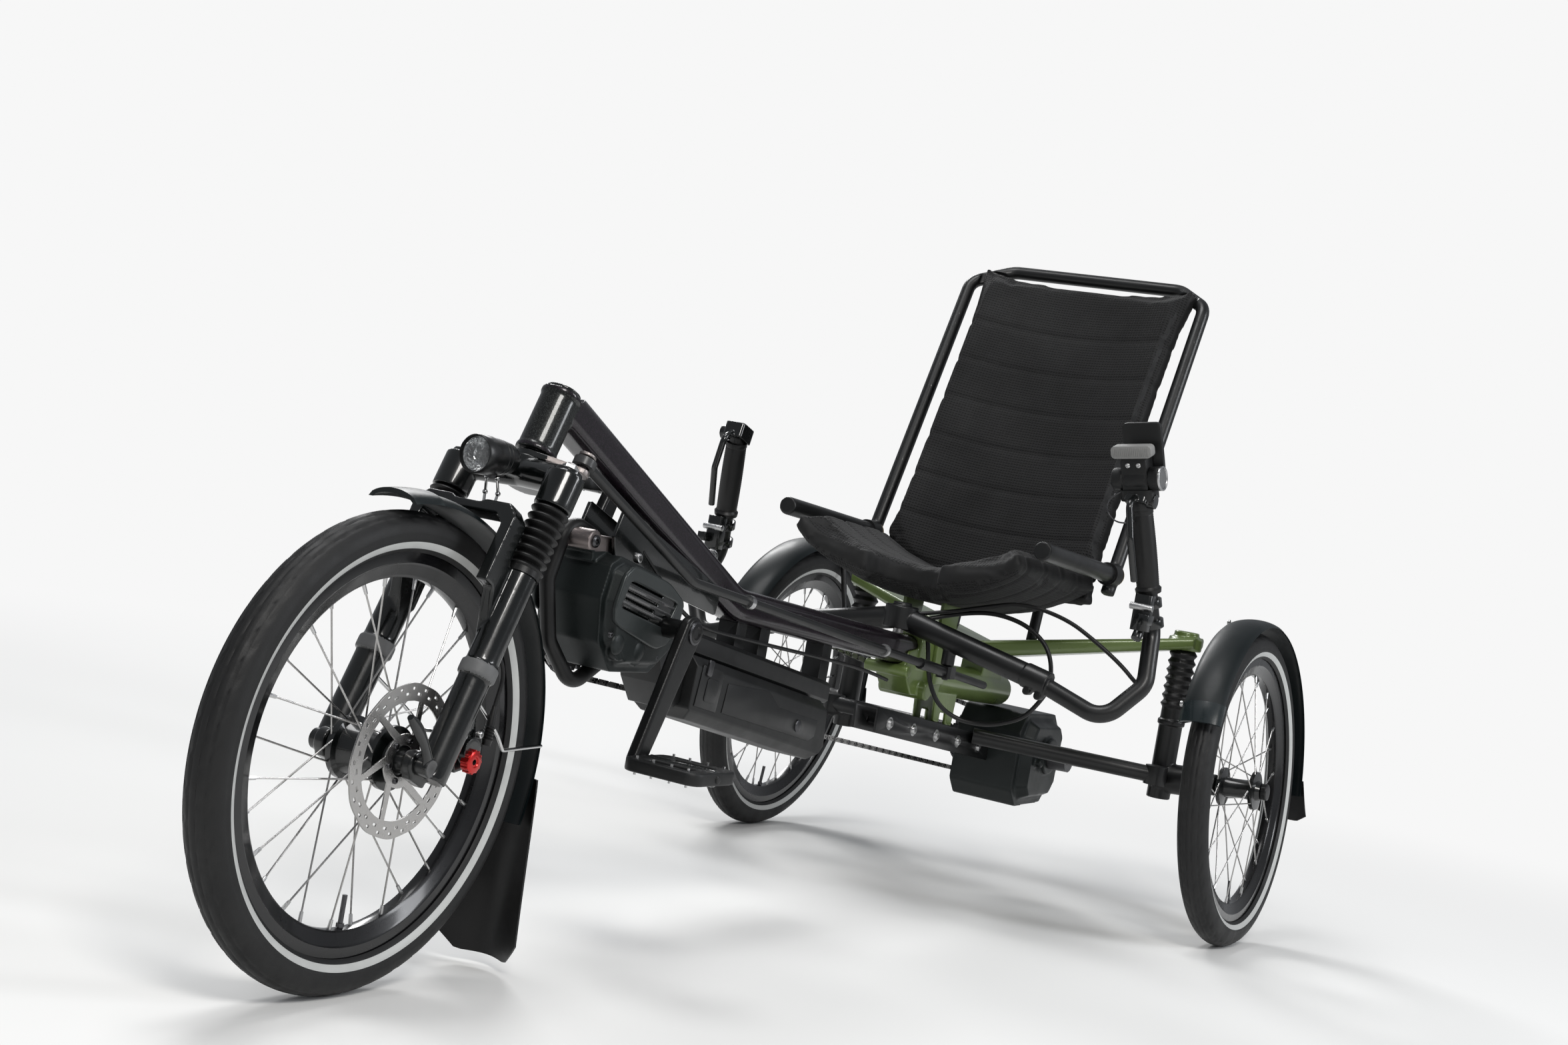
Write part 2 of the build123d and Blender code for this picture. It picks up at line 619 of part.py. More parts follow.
def make_battery(boom, motor):
    fall = tan(radians(RAIL_FALL))
    half = RAIL_HEIGHT / 2

    def line(y, drop):
        return RAIL_FRONT_Z - (y - RAIL_FRONT_Y) * fall - drop

    rail = side_plate([
        (RAIL_FRONT_Y, line(RAIL_FRONT_Y, -half)), (RAIL_REAR_Y, line(RAIL_REAR_Y, -half)),
        (RAIL_REAR_Y, line(RAIL_REAR_Y, half)), (RAIL_FRONT_Y, line(RAIL_FRONT_Y, half)),
    ], -RAIL_WIDTH / 2, RAIL_WIDTH / 2)
    rail = chamfer(rail.edges().filter_by(lambda e: e.length > 300), 5)
    for along in (0.39, 0.53, 0.935):
        y = RAIL_FRONT_Y + (RAIL_REAR_Y - RAIL_FRONT_Y) * along
        top = BOOM_SECTION / 2 - 1
        rail += side_plate([
            (y, boom_z(y) - top), (y + 26, boom_z(y + 26) - top), (y + 26, line(y + 26, 0)), (y, line(y, 0)),
        ], -14, 14)
    start = BATTERY_START_Y
    end = start + BATTERY_LENGTH * cos(radians(RAIL_FALL))
    low = half + BATTERY_HEIGHT
    pack = side_plate([
        (start, line(start, half)), (end, line(end, half)), (end + 8, line(end, low - 20)),
        (end - 14, line(end, low)), (start + 6, line(start, low)), (start - 6, line(start, low - 16)),
    ], -BATTERY_WIDTH / 2, BATTERY_WIDTH / 2)
    pack = chamfer(pack.edges().filter_by(lambda e: e.length > 300), 12)
    keep("battery", pack)
    front = line(start, 0) - 12
    cradle = side_plate([
        (start - 74, front - 2), (start - 48, front + 12), (start - 3, front + 4), (start - 7, front - 64),
        (start - 28, front - 74), (start - 56, front - 42),
    ], -30, 30, 4)
    keep("battery_rail", cut_by(rail + cut_by(cradle, pack, motor), boom, motor))


# Rear frame with its cross beam, struts, links and drive

def make_rear_frame(boom):
    end_z = boom_z(BOOM_END_Y)
    tail_y = WHEELBASE - 45
    tail_z = end_z - 55
    start_y = BOOM_END_Y - 20
    spine = rod((0, start_y, end_z - 33), (0, tail_y, tail_z), SPINE_RADIUS)
    socket = Box(SPINE_SOCKET, SOCKET_LENGTH, SPINE_SOCKET - 4)
    socket = fillet(socket.edges().filter_by(Axis.Y), 12)
    socket = Pos(0, BOOM_END_Y + 2, boom_z(BOOM_END_Y)) * Rot(-BOOM_FALL, 0, 0) * socket
    shell = side_plate([
        (start_y - 40, end_z + 4), (start_y + 20, end_z + 14), (start_y + 78, end_z - 12), (start_y + 96, end_z - 30),
        (start_y + 90, end_z - 64), (start_y - 10, end_z - 62), (start_y - 46, end_z - 24),
    ], -26, 26, 8)
    frame = spine + socket + shell
    frame += rod((-39, BOOM_END_Y + 2, end_z - 54), (39, BOOM_END_Y + 2, end_z - 54), 14)
    frame += rod((-36, BOOM_END_Y - 70, end_z - 26), (36, BOOM_END_Y - 70, end_z - 26), 9)
    plate_y = BOOM_END_Y + 84
    for x_low in (13, -19):
        plate = side_plate([
            (plate_y - 4, end_z - 50), (plate_y + 78, end_z - 50), (plate_y + 74, end_z - 112),
            (plate_y + 50, end_z - 110), (plate_y + 48, end_z - 92), (plate_y + 24, end_z - 90),
            (plate_y + 24, end_z - 106), (plate_y + 4, end_z - 104),
        ], x_low, x_low + 6)
        frame += plate
    wing_y = WHEELBASE - WING_AHEAD
    frame += side_plate([
        (wing_y - 34, tail_z + 10), (wing_y - 26, WING_ROOT_Z), (wing_y + 40, WING_ROOT_Z), (wing_y + 62, tail_z),
    ], -20, 20, 5)
    beam = None
    for side in (-1, 1):
        root = Plane(origin=(0, wing_y, WING_ROOT_Z), x_dir=(0, 1, 0), z_dir=(side, 0, 0))
        tip = Plane(origin=(side * WING_TIP_X, WHEELBASE, WING_TIP_Z), x_dir=(0, 1, 0), z_dir=(side, 0, 0))
        half = loft([root * RectangleRounded(*WING_ROOT, 8), tip * RectangleRounded(*WING_TIP, 6)], ruled=True)
        half += Pos(side * STRUT_X, WHEELBASE, WING_TIP_Z - 4) * Cylinder(WING_TIP[0] / 2, 20)
        half += Pos(side * STRUT_X, WHEELBASE, WING_TIP_Z + 10) * Cylinder(20, 12)
        beam = half if beam is None else beam + half
    keep("cross_beam", beam)
    frame = cut_by(frame, boom, beam)
    keep("rear_frame", frame)
    return frame, beam


def make_channel(frame):
    """A folded channel that carries the chain idlers and the drive box."""
    end_y = WHEELBASE - 87
    fall = (CHANNEL_FRONT_Z - DRIVE_Z - 18) / (end_y - CHANNEL_FRONT_Y)

    def top(y):
        return CHANNEL_FRONT_Z - (y - CHANNEL_FRONT_Y) * fall

    def deep(y, drop):
        return (y, top(y) - drop)

    half = CHANNEL_WIDTH / 2
    outer = [deep(CHANNEL_FRONT_Y, 0), deep(end_y, 0), deep(end_y, CHANNEL_HEIGHT), deep(CHANNEL_FRONT_Y, CHANNEL_HEIGHT)]
    start = CHANNEL_FRONT_Y - 10
    beyond = end_y + 10
    inside = [deep(start, CHANNEL_WALL), deep(beyond, CHANNEL_WALL), deep(beyond, 60), deep(start, 60)]
    channel = side_plate(outer, -half, half)
    channel -= side_plate(inside, CHANNEL_WALL - half, half - CHANNEL_WALL)
    for i in range(5):
        y = CHANNEL_FRONT_Y + (end_y - CHANNEL_FRONT_Y) * (i + 0.5) / 5
        channel -= Pos(0, y, top(y) - 20) * Rot(0, 90, 0) * Cylinder(5, 60)
    channel = channel - frame
    keep("drive_channel", channel)
    return channel


def make_drive(frame, channel):
    def about_axle(points):
        return [(WHEELBASE + y, DRIVE_Z + z) for y, z in points]

    block = side_plate(about_axle([
        (-87, 36), (-66, 68), (56, 66), (82, 40), (76, -56), (48, -84), (-60, -87), (-86, -60),
    ]), -40, 72, 10)
    cover = outline(about_axle([
        (-74, 30), (-58, 58), (50, 56), (70, 34), (64, -50), (42, -74), (-54, -76), (-74, -54),
    ]), 10)
    block += extrude(side_plane(72) * cover, 18, taper=30)
    block = cut_by(block, frame, channel)
    block += rod((84, WHEELBASE, DRIVE_Z), (98, WHEELBASE, DRIVE_Z), 30)
    block += Pos(94, WHEELBASE - 44, DRIVE_Z - 10) * Rot(0, 90, 0) * Cylinder(7, 14)
    keep("drive_housing", block)
    stack = None
    table = ((31, 62, -50), (27, 55, -56), (23, 48, -62), (19, 41, -68), (15, 34, -74))
    for teeth, radius, x_low in table:
        wheel = sprocket(radius - 2, teeth, x_low, 3)
        stack = wheel if stack is None else stack + wheel
    stack += turned([(-80, 0), (-80, 22), (-40, 22), (-40, 0)])
    cassette = Pos(0, WHEELBASE, DRIVE_Z) * stack - block
    keep("cassette", cassette)
    loop = None
    for grow in (7.0, 0.0):
        edge = make_hull([
            (Pos(CRANK_Y, CRANK_Z) * Circle(CHAINRING_RADIUS + 3.2 + grow)).edge(),
            (Pos(WHEELBASE, DRIVE_Z) * Circle(51.0 + grow)).edge(),
        ])
        band = extrude(side_plane(CHAINRING_X - 2.5) * edge, 5)
        loop = band if loop is None else loop - band
    keep("chain", cut_by(loop, cassette))
    return block, cassette


def make_corners(beam, channel, block, cassette):
    """Sprung struts with their axle stubs, lower arms, shafts and fenders."""
    shoulder = REAR_AXLE.X - STRUT_X
    body = rod((STRUT_X, WHEELBASE, STRUT_FOOT_Z), (STRUT_X, WHEELBASE, STRUT_TOP_Z), STRUT_RADIUS)
    body += rod((STRUT_X, WHEELBASE, STRUT_TOP_Z - 26), (STRUT_X, WHEELBASE, STRUT_TOP_Z - 18), STRUT_RADIUS + 3)
    inner = REAR_AXLE - REAR_OUT * (shoulder + 10)
    face = REAR_AXLE - REAR_OUT * (REAR_HUB_WIDTH / 2)
    nut = REAR_AXLE + REAR_OUT * (REAR_HUB_WIDTH / 2)
    end = nut + REAR_OUT * 10
    mid = face - REAR_OUT * 34
    body += rod(tuple(inner), tuple(mid), 24)
    body += rod(tuple(mid), tuple(face), 17)
    body += rod(tuple(face), tuple(end), REAR_AXLE_RADIUS)
    body += rod(tuple(nut), tuple(end), 13)
    gap = WING_TIP_Z - 14 - STRUT_TOP_Z
    body += Pos(STRUT_X, WHEELBASE, STRUT_TOP_Z) * bellows(23, gap, STRUT_FOLDS)
    fender = REAR_WHEEL * fender_band(REAR_FENDER_WIDTH, -4, 156)
    reach = radians(STAY_ANGLE)
    hold = FENDER_RADIUS + 1.5
    rim_top = (REAR_WHEEL * Pos(REAR_FENDER_WIDTH * -0.3, hold * cos(reach), hold * sin(reach))).position
    body += bent_rod([
        (STRUT_X, WHEELBASE + 14, STRUT_TOP_Z - 22), (STRUT_X + 46, WHEELBASE + 40, STRUT_TOP_Z - 2), tuple(rim_top),
    ], 30, 5)
    corner = cut_by(body, beam, fender)
    keep("struts", corner, mirrored(corner))
    arm_z = DRIVE_Z + 13
    front = (22, WHEELBASE - 165, arm_z + 9)
    knuckle = (STRUT_X + 4, WHEELBASE - 44, arm_z)
    arm = rod(front, knuckle, ARM_TUBE_RADIUS)
    arm += Pos(*knuckle) * Cylinder(18, 30)
    arm += rod(knuckle, (STRUT_X, WHEELBASE, arm_z), 10)
    arm = cut_by(arm, corner, channel)
    keep("lower_arms", arm, mirrored(arm))
    shaft = rod((98, WHEELBASE, DRIVE_Z), tuple(inner), 8)
    shaft += rod((98, WHEELBASE, DRIVE_Z), (130, WHEELBASE, DRIVE_Z + 1), 20)
    right = mirrored(shaft) + rod((-60, WHEELBASE, DRIVE_Z), (-98, WHEELBASE, DRIVE_Z), 8)
    keep("drive_shafts", cut_by(shaft, corner, arm, block))
    keep("drive_shafts", cut_by(right, mirrored(corner), mirrored(arm), cassette, block))
    reach = FENDER_OUTER
    flap = REAR_WHEEL * side_plate([
        (reach - 8, 6), (reach, 6), (reach + 14, -58), (reach + 8, -60), (reach - 6, -20),
    ], -42, 42)
    fender = fender + flap
    keep("rear_fenders", fender, mirrored(fender))


# Cranks and pedals

def make_cranks():
    outer_x = CRANK_INNER_X + CRANK_THICK
    crank = rod((-outer_x, CRANK_Y, CRANK_Z), (outer_x, CRANK_Y, CRANK_Z), SPINDLE_RADIUS)
    for side in (-1, 1):
        angle = radians(CRANK_ANGLE if side > 0 else CRANK_ANGLE + 180)
        end_y = CRANK_Y + CRANK_LENGTH * cos(angle)
        end_z = CRANK_Z + CRANK_LENGTH * sin(angle)
        x_low = CRANK_INNER_X if side > 0 else -outer_x
        arm = make_hull([
            (Pos(CRANK_Y, CRANK_Z) * Circle(19)).edge(),
            (Pos(end_y, end_z) * Circle(13)).edge(),
        ])
        arm = extrude(side_plane(x_low) * arm, CRANK_THICK)
        faces = arm.faces().filter_by(Axis.X)
        arm = chamfer(faces[0].edges() + faces[1].edges(), 3)
        crank += arm
        crank -= Pos(side * outer_x, CRANK_Y, CRANK_Z) * Rot(0, 90, 0) * Cylinder(9, 10)
        pin_end = outer_x + PEDAL_WIDTH + 8
        crank += rod((side * CRANK_INNER_X, end_y, end_z), (side * pin_end, end_y, end_z), PEDAL_PIN_RADIUS)
        middle = side * (outer_x + 4 + PEDAL_WIDTH / 2)
        pedal = Box(PEDAL_WIDTH, PEDAL_LENGTH, PEDAL_THICK)
        pedal = chamfer(pedal.edges().filter_by(Axis.Z), 12)
        pedal = chamfer(pedal.edges().filter_by(Axis.X), 4)
        for offset in (-28, 28):
            pedal -= Pos(0, offset, 0) * Box(PEDAL_WIDTH - 20, 20, 30)
        pedal -= Rot(0, 90, 0) * Cylinder(PEDAL_PIN_RADIUS + FIT, 400)
        keep("pedal_left" if side > 0 else "pedal_right", Pos(middle, end_y, end_z) * pedal)
    keep("cranks", crank)
    at = Pos(0, CRANK_Y, CRANK_Z)
    ring = sprocket(CHAINRING_RADIUS, CHAINRING_TEETH, CHAINRING_X - 2, 4)
    for i in range(5):
        window = Pos(CHAINRING_X, 45, 0) * Box(20, 26, 30)
        window = chamfer(window.edges().filter_by(Axis.X), 7)
        ring -= window.rotate(Axis.X, 72.0 * i)
    keep("chainring", at * ring - crank)


# Bar under the seat and its steering rod

def make_handlebar(boom, frame):
    slope = tan(radians(BAR_SLOPE))
    post_top = BAR_HUB_Z - 25
    post = Pos(0, BAR_Y, post_top - 9) * Cylinder(16, 18)
    post += Pos(0, BAR_Y, post_top + 19) * Cylinder(PIVOT_RADIUS, 36)
    keep("bar_pivot", cut_by(post, boom, frame))

    def along(x, side):
        return (side * x, BAR_Y, BAR_HUB_Z - x * slope)

    bar = Pos(0, BAR_Y, BAR_HUB_Z) * Cylinder(25, 34)
    bar += Pos(0, BAR_Y, BAR_HUB_Z + 19) * Cylinder(14, 6)
    for side in (-1, 1):
        clamp_start = BAR_SLEEVE_END - BAR_CLAMP_LENGTH
        bar += rod(along(10, side), along(clamp_start, side), BAR_SLEEVE_RADIUS)
        bar += rod(along(clamp_start, side), along(BAR_SLEEVE_END, side), BAR_SLEEVE_RADIUS + 1.5)
        for along_bar in (10, 28):
            ear = along(clamp_start + along_bar, side)
            bar += Pos(ear[0], ear[1] - 6, ear[2] - 20) * Rot(90, 0, 0) * Cylinder(6, 16)
        bar += bent_rod([
            along(BAR_SLEEVE_END - 30, side), (side * 338, BAR_Y + 2, BAR_HUB_Z - 88),
            (side * 380, BAR_Y + 36, BAR_HUB_Z - 30), (side * 366, BAR_Y + 68, BAR_HUB_Z + 44),
            (side * 334, BAR_Y + 4, BAR_HUB_Z + 236),
        ], 36, BAR_RADIUS)
    bar -= Pos(0, BAR_Y, BAR_HUB_Z - 4) * Cylinder(PIVOT_RADIUS + FIT, 42)
    pin_top = BAR_HUB_Z - BAR_PIN_X * slope
    pin_foot = ROD_Z + 10
    bar += Pos(BAR_PIN_X, BAR_Y, (pin_top + pin_foot) / 2) * Cylinder(10, pin_top - pin_foot)
    bar += Pos(BAR_PIN_X, BAR_Y, ROD_Z + 2) * Cylinder(5, 28)
    keep("handlebar", bar)
    for side in (-1, 1):
        low = (side * 356, BAR_Y + 48, BAR_HUB_Z + 104)
        high = (side * 337, BAR_Y + 10, BAR_HUB_Z + 218)
        grip = rod(low, high, GRIP_RADIUS)
        grip += rod(low, (low[0] + side * 0.5, low[1] + 1, low[2] - 4), GRIP_RADIUS + 2)
        keep("bar_grips", grip - bar)
    make_controls(bar)


def make_controls(bar):
    """Brake levers hanging ahead of the grips, and the controls above them."""
    top_z = BAR_HUB_Z + 232
    for side in (-1, 1):
        head = (side * 334, BAR_Y + 5, top_z)
        body = Pos(*head) * Rot(-16, 0, 0) * Box(34, 40, 24)
        body = fillet(body.edges().filter_by(lambda e: e.length < 30), 6)
        knob = Pos(head[0] + side * 20, head[1] - 4, head[2] - 2) * Rot(0, 90, 0) * Cylinder(11, 12)
        blade = bent_rod([
            (head[0], head[1] - 14, head[2]), (head[0], head[1] - 40, head[2] - 10),
            (side * 344, BAR_Y - 32, top_z - 60), (side * 352, BAR_Y - 8, top_z - 118),
        ], 14, 5)
        lever = cut_by(body + knob + blade, bar, *NODES["bar_grips"])
        keep("brake_levers", lever)
    head = Pos(330, BAR_Y - 2, top_z + 36) * Rot(-22, 0, 0)
    case = head * Box(58, 34, 46)
    case = fillet(case.edges().filter_by(lambda e: e.length > 40), 9)
    dial = head * (Pos(32, 0, -4) * Rot(0, 90, 0) * Cylinder(15, 14))
    rest = head * (Pos(0, -10, 27) * Box(54, 26, 10))
    screen = head * (Pos(6, 24, 20) * Box(54, 12, 96))
    screen = fillet(screen.edges().filter_by(lambda e: 10 < e.length < 14), 5)
    keep("bar_controls", cut_by(case + dial + rest + screen, bar, *NODES["brake_levers"]))


def make_rod():
    eye = FORK * Pos(ARM_EYE_X, CROWN_OFFSET + ARM_EYE_BACK, CROWN_TOP + 5)
    eye_at = eye.position
    clamp = Pos(BAR_PIN_X, BAR_Y, ROD_Z) * Box(24, 24, 18)
    clamp = chamfer(clamp.edges().filter_by(Axis.Z), 4)
    tail = (BAR_PIN_X + 4, BAR_Y + ROD_TAIL, ROD_Z - ROD_TAIL * tan(radians(7.3)))
    front = (eye_at.X, eye_at.Y + 8, eye_at.Z - 3)
    pin = (BAR_PIN_X, BAR_Y, ROD_Z)
    bend = (ARM_EYE_X + 4, ROD_BEND_Y, ROD_BEND_Z)
    link = bent_rod([front, bend, pin, tail], 60, ROD_RADIUS)
    link += clamp
    link += rod(pin, (BAR_PIN_X - 3, BAR_Y - 90, ROD_Z + 11), ROD_RADIUS + 2)
    link += eye * Cylinder(13, 9)
    link -= eye * Cylinder(7.3, 40)
    link -= Pos(*pin) * Cylinder(5 + FIT, 60)
    keep("steering_rod", link)


# Seat

def pad(origin, way, length, sag, side_drop):
    """A padded slab with a shallow U section, its sides turned to the rider."""
    half = SEAT_WIDTH / 2
    inner = half - 12
    section = ThreePointArc((-half, -sag), (0, 0), (half, -sag))
    section += Line((half, -sag), (inner, -sag - side_drop))
    section += ThreePointArc((inner, -sag - side_drop), (0, -SEAT_THICK), (-inner, -sag - side_drop))
    section += Line((-inner, -sag - side_drop), (-half, -sag))
    return extrude(Plane(origin=origin, x_dir=X_AXIS, z_dir=way) * make_face(section), length)


def make_seat(beam, frame):
    front = Vector(0, SEAT_FRONT_Y, SEAT_FRONT_Z)
    hip = Vector(0, SEAT_HIP_Y, SEAT_HIP_Z)
    base = pad(front, hip - front, (hip - front).length, SEAT_SAG, 26)
    notch = Pos(0, SEAT_FRONT_Y, SEAT_FRONT_Z) * Cylinder(64, 200)
    base = base - notch
    way = Vector(0, cos(radians(BACK_ANGLE)), sin(radians(BACK_ANGLE)))
    start = hip + Vector(0, 34, 8)
    back = pad(start, way, BACK_LENGTH, BACK_SAG, 26) - base
    keep("seat_base", base)
    keep("seat_back", back)
    edge_z = SEAT_SAG + 19
    top = start + way * (BACK_LENGTH - 30)
    forward = Vector(0, -sin(radians(BACK_ANGLE)), cos(radians(BACK_ANGLE)))
    rails = None
    for side in (-1, 1):
        x = side * RAIL_TUBE_X
        rail_end = (x, SEAT_HIP_Y + 24, SEAT_HIP_Z + edge_z - 2)
        rail = rod((x, SEAT_FRONT_Y + 20, SEAT_FRONT_Z + edge_z), rail_end, RAIL_TUBE_RADIUS)
        rail += rod((x, SEAT_HIP_Y - 10, SEAT_HIP_Z + edge_z), (x, SEAT_HIP_Y + 18, SEAT_HIP_Z + edge_z - 2), 18)
        lug_y = SEAT_HIP_Y - 60
        lug_z = SEAT_HIP_Z + edge_z - 1
        rail += rod((x - side * 32, lug_y, lug_z), (x, lug_y, lug_z), 5)
        rails = rail if rails is None else rails + rail
    low = start + forward * BACK_SAG
    high = top + forward * BACK_SAG
    half = RAIL_TUBE_X
    rails += bent_rod([
        (half, low.Y + 14, low.Z + 34), (half, high.Y, high.Z), (half - 60, top.Y, top.Z + 48),
        (60 - half, top.Y, top.Z + 48), (-half, high.Y, high.Z), (-half, low.Y + 14, low.Z + 34),
    ], 30, HOOP_RADIUS)
    keep("seat_rails", cut_by(rails, base, back))
    wing_y = WHEELBASE - WING_AHEAD
    mount_y = BOOM_END_Y + 22
    stay_foot = WING_ROOT_Z + (WING_TIP_Z - WING_ROOT_Z) * SEAT_STAY_X / WING_TIP_X
    mounts = []
    for side in (-1, 1):
        x_low = SPINE_SOCKET / 2 if side > 0 else -SPINE_SOCKET / 2 - 6
        plate = side_plate([
            (mount_y, 88), (mount_y + 38, 88), (mount_y + 62, SEAT_FRONT_Z), (mount_y - 6, SEAT_FRONT_Z + 2),
        ], x_low, x_low + 6)
        mounts.append(cut_by(plate, base, frame))
        stay_x = side * SEAT_STAY_X
        stay = rod((stay_x, wing_y + 25, stay_foot), (stay_x, wing_y + 62, SEAT_HIP_Z + 182), 9)
        keep("seat_rails", cut_by(stay, base, back, beam))
    keep("seat_mounts", *mounts)


def make_all():
    make_wheels()
    make_fork()
    boom = make_boom()
    motor = make_motor(boom)
    make_battery(boom, motor)
    frame, beam = make_rear_frame(boom)
    channel = make_channel(frame)
    block, cassette = make_drive(frame, channel)
    make_corners(beam, channel, block, cassette)
    make_cranks()
    make_handlebar(boom, frame)
    make_rod()
    make_seat(beam, frame)


make_all()
os.makedirs("parts", exist_ok=True)
shift = Location((0, -MIDDLE_Y, TYRE_RADIUS))
for name, solids in NODES.items():
    shape = solids[0] if len(solids) == 1 else Compound(children=solids)
    export_step(shape.moved(shift), "parts/%s.step" % name)
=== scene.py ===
"""Looks of the recumbent trike: finishes, fine pieces, studio and camera.

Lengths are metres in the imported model's frame: +Z up, the front wheel lies
towards -Y and the rider's left is at +X. Angles are degrees.
"""
import bpy
import bmesh
from math import asin, atan2, cos, hypot, pi, radians, sin
from mathutils import Matrix, Vector


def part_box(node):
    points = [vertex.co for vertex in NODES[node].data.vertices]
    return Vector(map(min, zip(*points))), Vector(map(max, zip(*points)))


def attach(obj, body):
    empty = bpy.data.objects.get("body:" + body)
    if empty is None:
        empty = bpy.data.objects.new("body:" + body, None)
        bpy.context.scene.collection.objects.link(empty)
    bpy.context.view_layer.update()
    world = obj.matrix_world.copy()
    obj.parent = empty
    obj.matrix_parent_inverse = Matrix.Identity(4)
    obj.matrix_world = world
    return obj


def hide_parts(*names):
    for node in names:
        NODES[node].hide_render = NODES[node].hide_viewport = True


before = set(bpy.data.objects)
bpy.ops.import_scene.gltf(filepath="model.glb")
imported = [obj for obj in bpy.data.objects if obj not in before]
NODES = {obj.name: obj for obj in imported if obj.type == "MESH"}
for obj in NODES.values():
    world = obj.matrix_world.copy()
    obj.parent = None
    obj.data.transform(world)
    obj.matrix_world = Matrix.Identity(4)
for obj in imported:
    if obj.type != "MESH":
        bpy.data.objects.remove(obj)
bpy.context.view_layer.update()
SCENE = bpy.context.scene

# Camera, solved from the photograph: the lens is 50 mm on a 36 mm sensor
CAMERA_AT = (1.3827, -2.6041, 0.5764)
CAMERA_YAW = 28.569
CAMERA_PITCH = -0.605
CAMERA_ROLL = 10.046
LENS = 50.0

# Wheels, fenders, steering, chain and seat
WHEEL_RADIUS = 0.25
TYRE_HALF = 0.0235
RIM_RADIUS = 0.209
RIM_HALF = 0.0135
RIM_FLOOR = 0.181
CAMBER = 4.5
SPOKES_PER_SIDE = 14
SPOKE_LEAN = 38.0
FENDER_FOOT = 0.26
FENDER_TOP = 0.27
FENDER_WALL = 0.003
HEAD_ANGLE = 65.5
FENDER_NOSE = 97.0
FENDER_TAIL = -18.0
CHAIN_PITCH = 0.0127
BACK_ANGLE = 66.0


# Finishes

class Net:
    """The shader nodes of a material or a world."""

    def __init__(self, owner):
        owner.use_nodes = True
        self.nodes = owner.node_tree.nodes
        self.links = owner.node_tree.links
        self.shader = self.nodes.get("Principled BSDF")

    def feed(self, socket, source):
        """Link an output to a socket, or set the socket to a value."""
        if isinstance(source, bpy.types.NodeSocket):
            self.links.new(source, socket)
        else:
            socket.default_value = source

    def put(self, node, **sources):
        """Feed a node's inputs by name; From_Min stands for From Min."""
        for name, source in sources.items():
            self.feed(node.inputs[name.replace("_", " ")], source)

    def add(self, kind, out, **sources):
        """A new node's named output."""
        node = self.nodes.new("ShaderNode" + kind)
        self.put(node, **sources)
        return node.outputs[out]

    def place(self):
        """Where a point lies on its object."""
        node = self.nodes.get("Texture Coordinate") or self.nodes.new("ShaderNodeTexCoord")
        return node.outputs["Object"]

    def blend(self, share, one, two):
        """A mix of two colours."""
        mix = self.nodes.new("ShaderNodeMix")
        mix.data_type = "RGBA"
        for number, source in ((0, share), (6, one), (7, two)):
            self.feed(mix.inputs[number], source)
        return mix.outputs[2]

    def times(self, one, two):
        product = self.nodes.new("ShaderNodeMath")
        product.operation = "MULTIPLY"
        self.feed(product.inputs[0], one)
        self.feed(product.inputs[1], two)
        return product.outputs[0]

    def ramp(self, value, low, high, smooth=False, to_low=0.0, to_high=1.0):
        """A value stretched from low..high to 0..1, or to the range given."""
        node = self.nodes.new("ShaderNodeMapRange")
        if smooth:
            node.interpolation_type = "SMOOTHSTEP"
        self.put(node, Value=value, From_Min=low, From_Max=high, To_Min=to_low, To_Max=to_high)
        return node.outputs["Result"]

    def show(self, share, one, two, output):
        """Show a mix of two shaders."""
        mix = self.nodes.new("ShaderNodeMixShader")
        for number, source in enumerate((share, one, two)):
            self.feed(mix.inputs[number], source)
        self.feed(self.nodes[output].inputs["Surface"], mix.outputs["Shader"])

    def bump(self, height, distance):
        self.put(self.shader, Normal=self.add("Bump", "Normal", Height=height, Distance=distance))

    def tinted(self, share, colour, over=True):
        """Lay a colour over the base colour where share is 1, or under it where over is false."""
        base = self.shader.inputs["Base Color"].links[0].from_socket
        pair = (base, (*colour, 1)) if over else ((*colour, 1), base)
        self.put(self.shader, Base_Color=self.blend(share, *pair))


def finish(name, colour, metallic=0.0, rough=0.45, coat=0.0, coat_rough=0.12, shade=0.75, cloud=14.0,
           grain=0.0, grain_size=700.0, worn=None, worn_from=0.53, sheen=0.0, spread=0.1, specular=0.38):
    """A surface whose colour and gloss wander, with fine grain and worn edges."""
    mat = bpy.data.materials.new(name)
    net = Net(mat)
    net.put(net.shader, Metallic=metallic, Specular_IOR_Level=specular, Coat_Weight=coat,
            Coat_Roughness=coat_rough, Sheen_Weight=sheen)
    clouds = net.add("TexNoise", "Fac", Vector=net.place(), Scale=cloud, Detail=7.0, Roughness=0.6)
    tint = net.blend(clouds, (*(part * shade for part in colour), 1), (*colour, 1))
    gloss = net.ramp(clouds, 0.3, 0.7, to_low=max(0.02, rough - spread), to_high=min(1.0, rough + spread))
    net.put(net.shader, Base_Color=tint, Roughness=gloss)
    if worn:
        edge = net.ramp(net.add("NewGeometry", "Pointiness"), worn_from, worn_from + 0.1)
        net.tinted(net.times(edge, clouds), worn)
    if grain:
        net.bump(net.add("TexNoise", "Fac", Vector=net.place(), Scale=grain_size, Detail=3.0), grain)
    return mat


def flake_finish(name, colour, fleck, rough=0.32):
    """Dark metallic paint: tiny flecks under a clear coat."""
    mat = finish(name, colour, metallic=0.45, rough=rough, coat=0.5, coat_rough=0.08, shade=0.6, cloud=6.0)
    net = Net(mat)
    cells = net.add("TexVoronoi", "Color", Vector=net.place(), Scale=1500.0)
    red = net.nodes.new("ShaderNodeSeparateColor")
    net.feed(red.inputs[0], cells)
    net.tinted(net.ramp(red.outputs[0], 0.6, 0.95), fleck)
    return mat


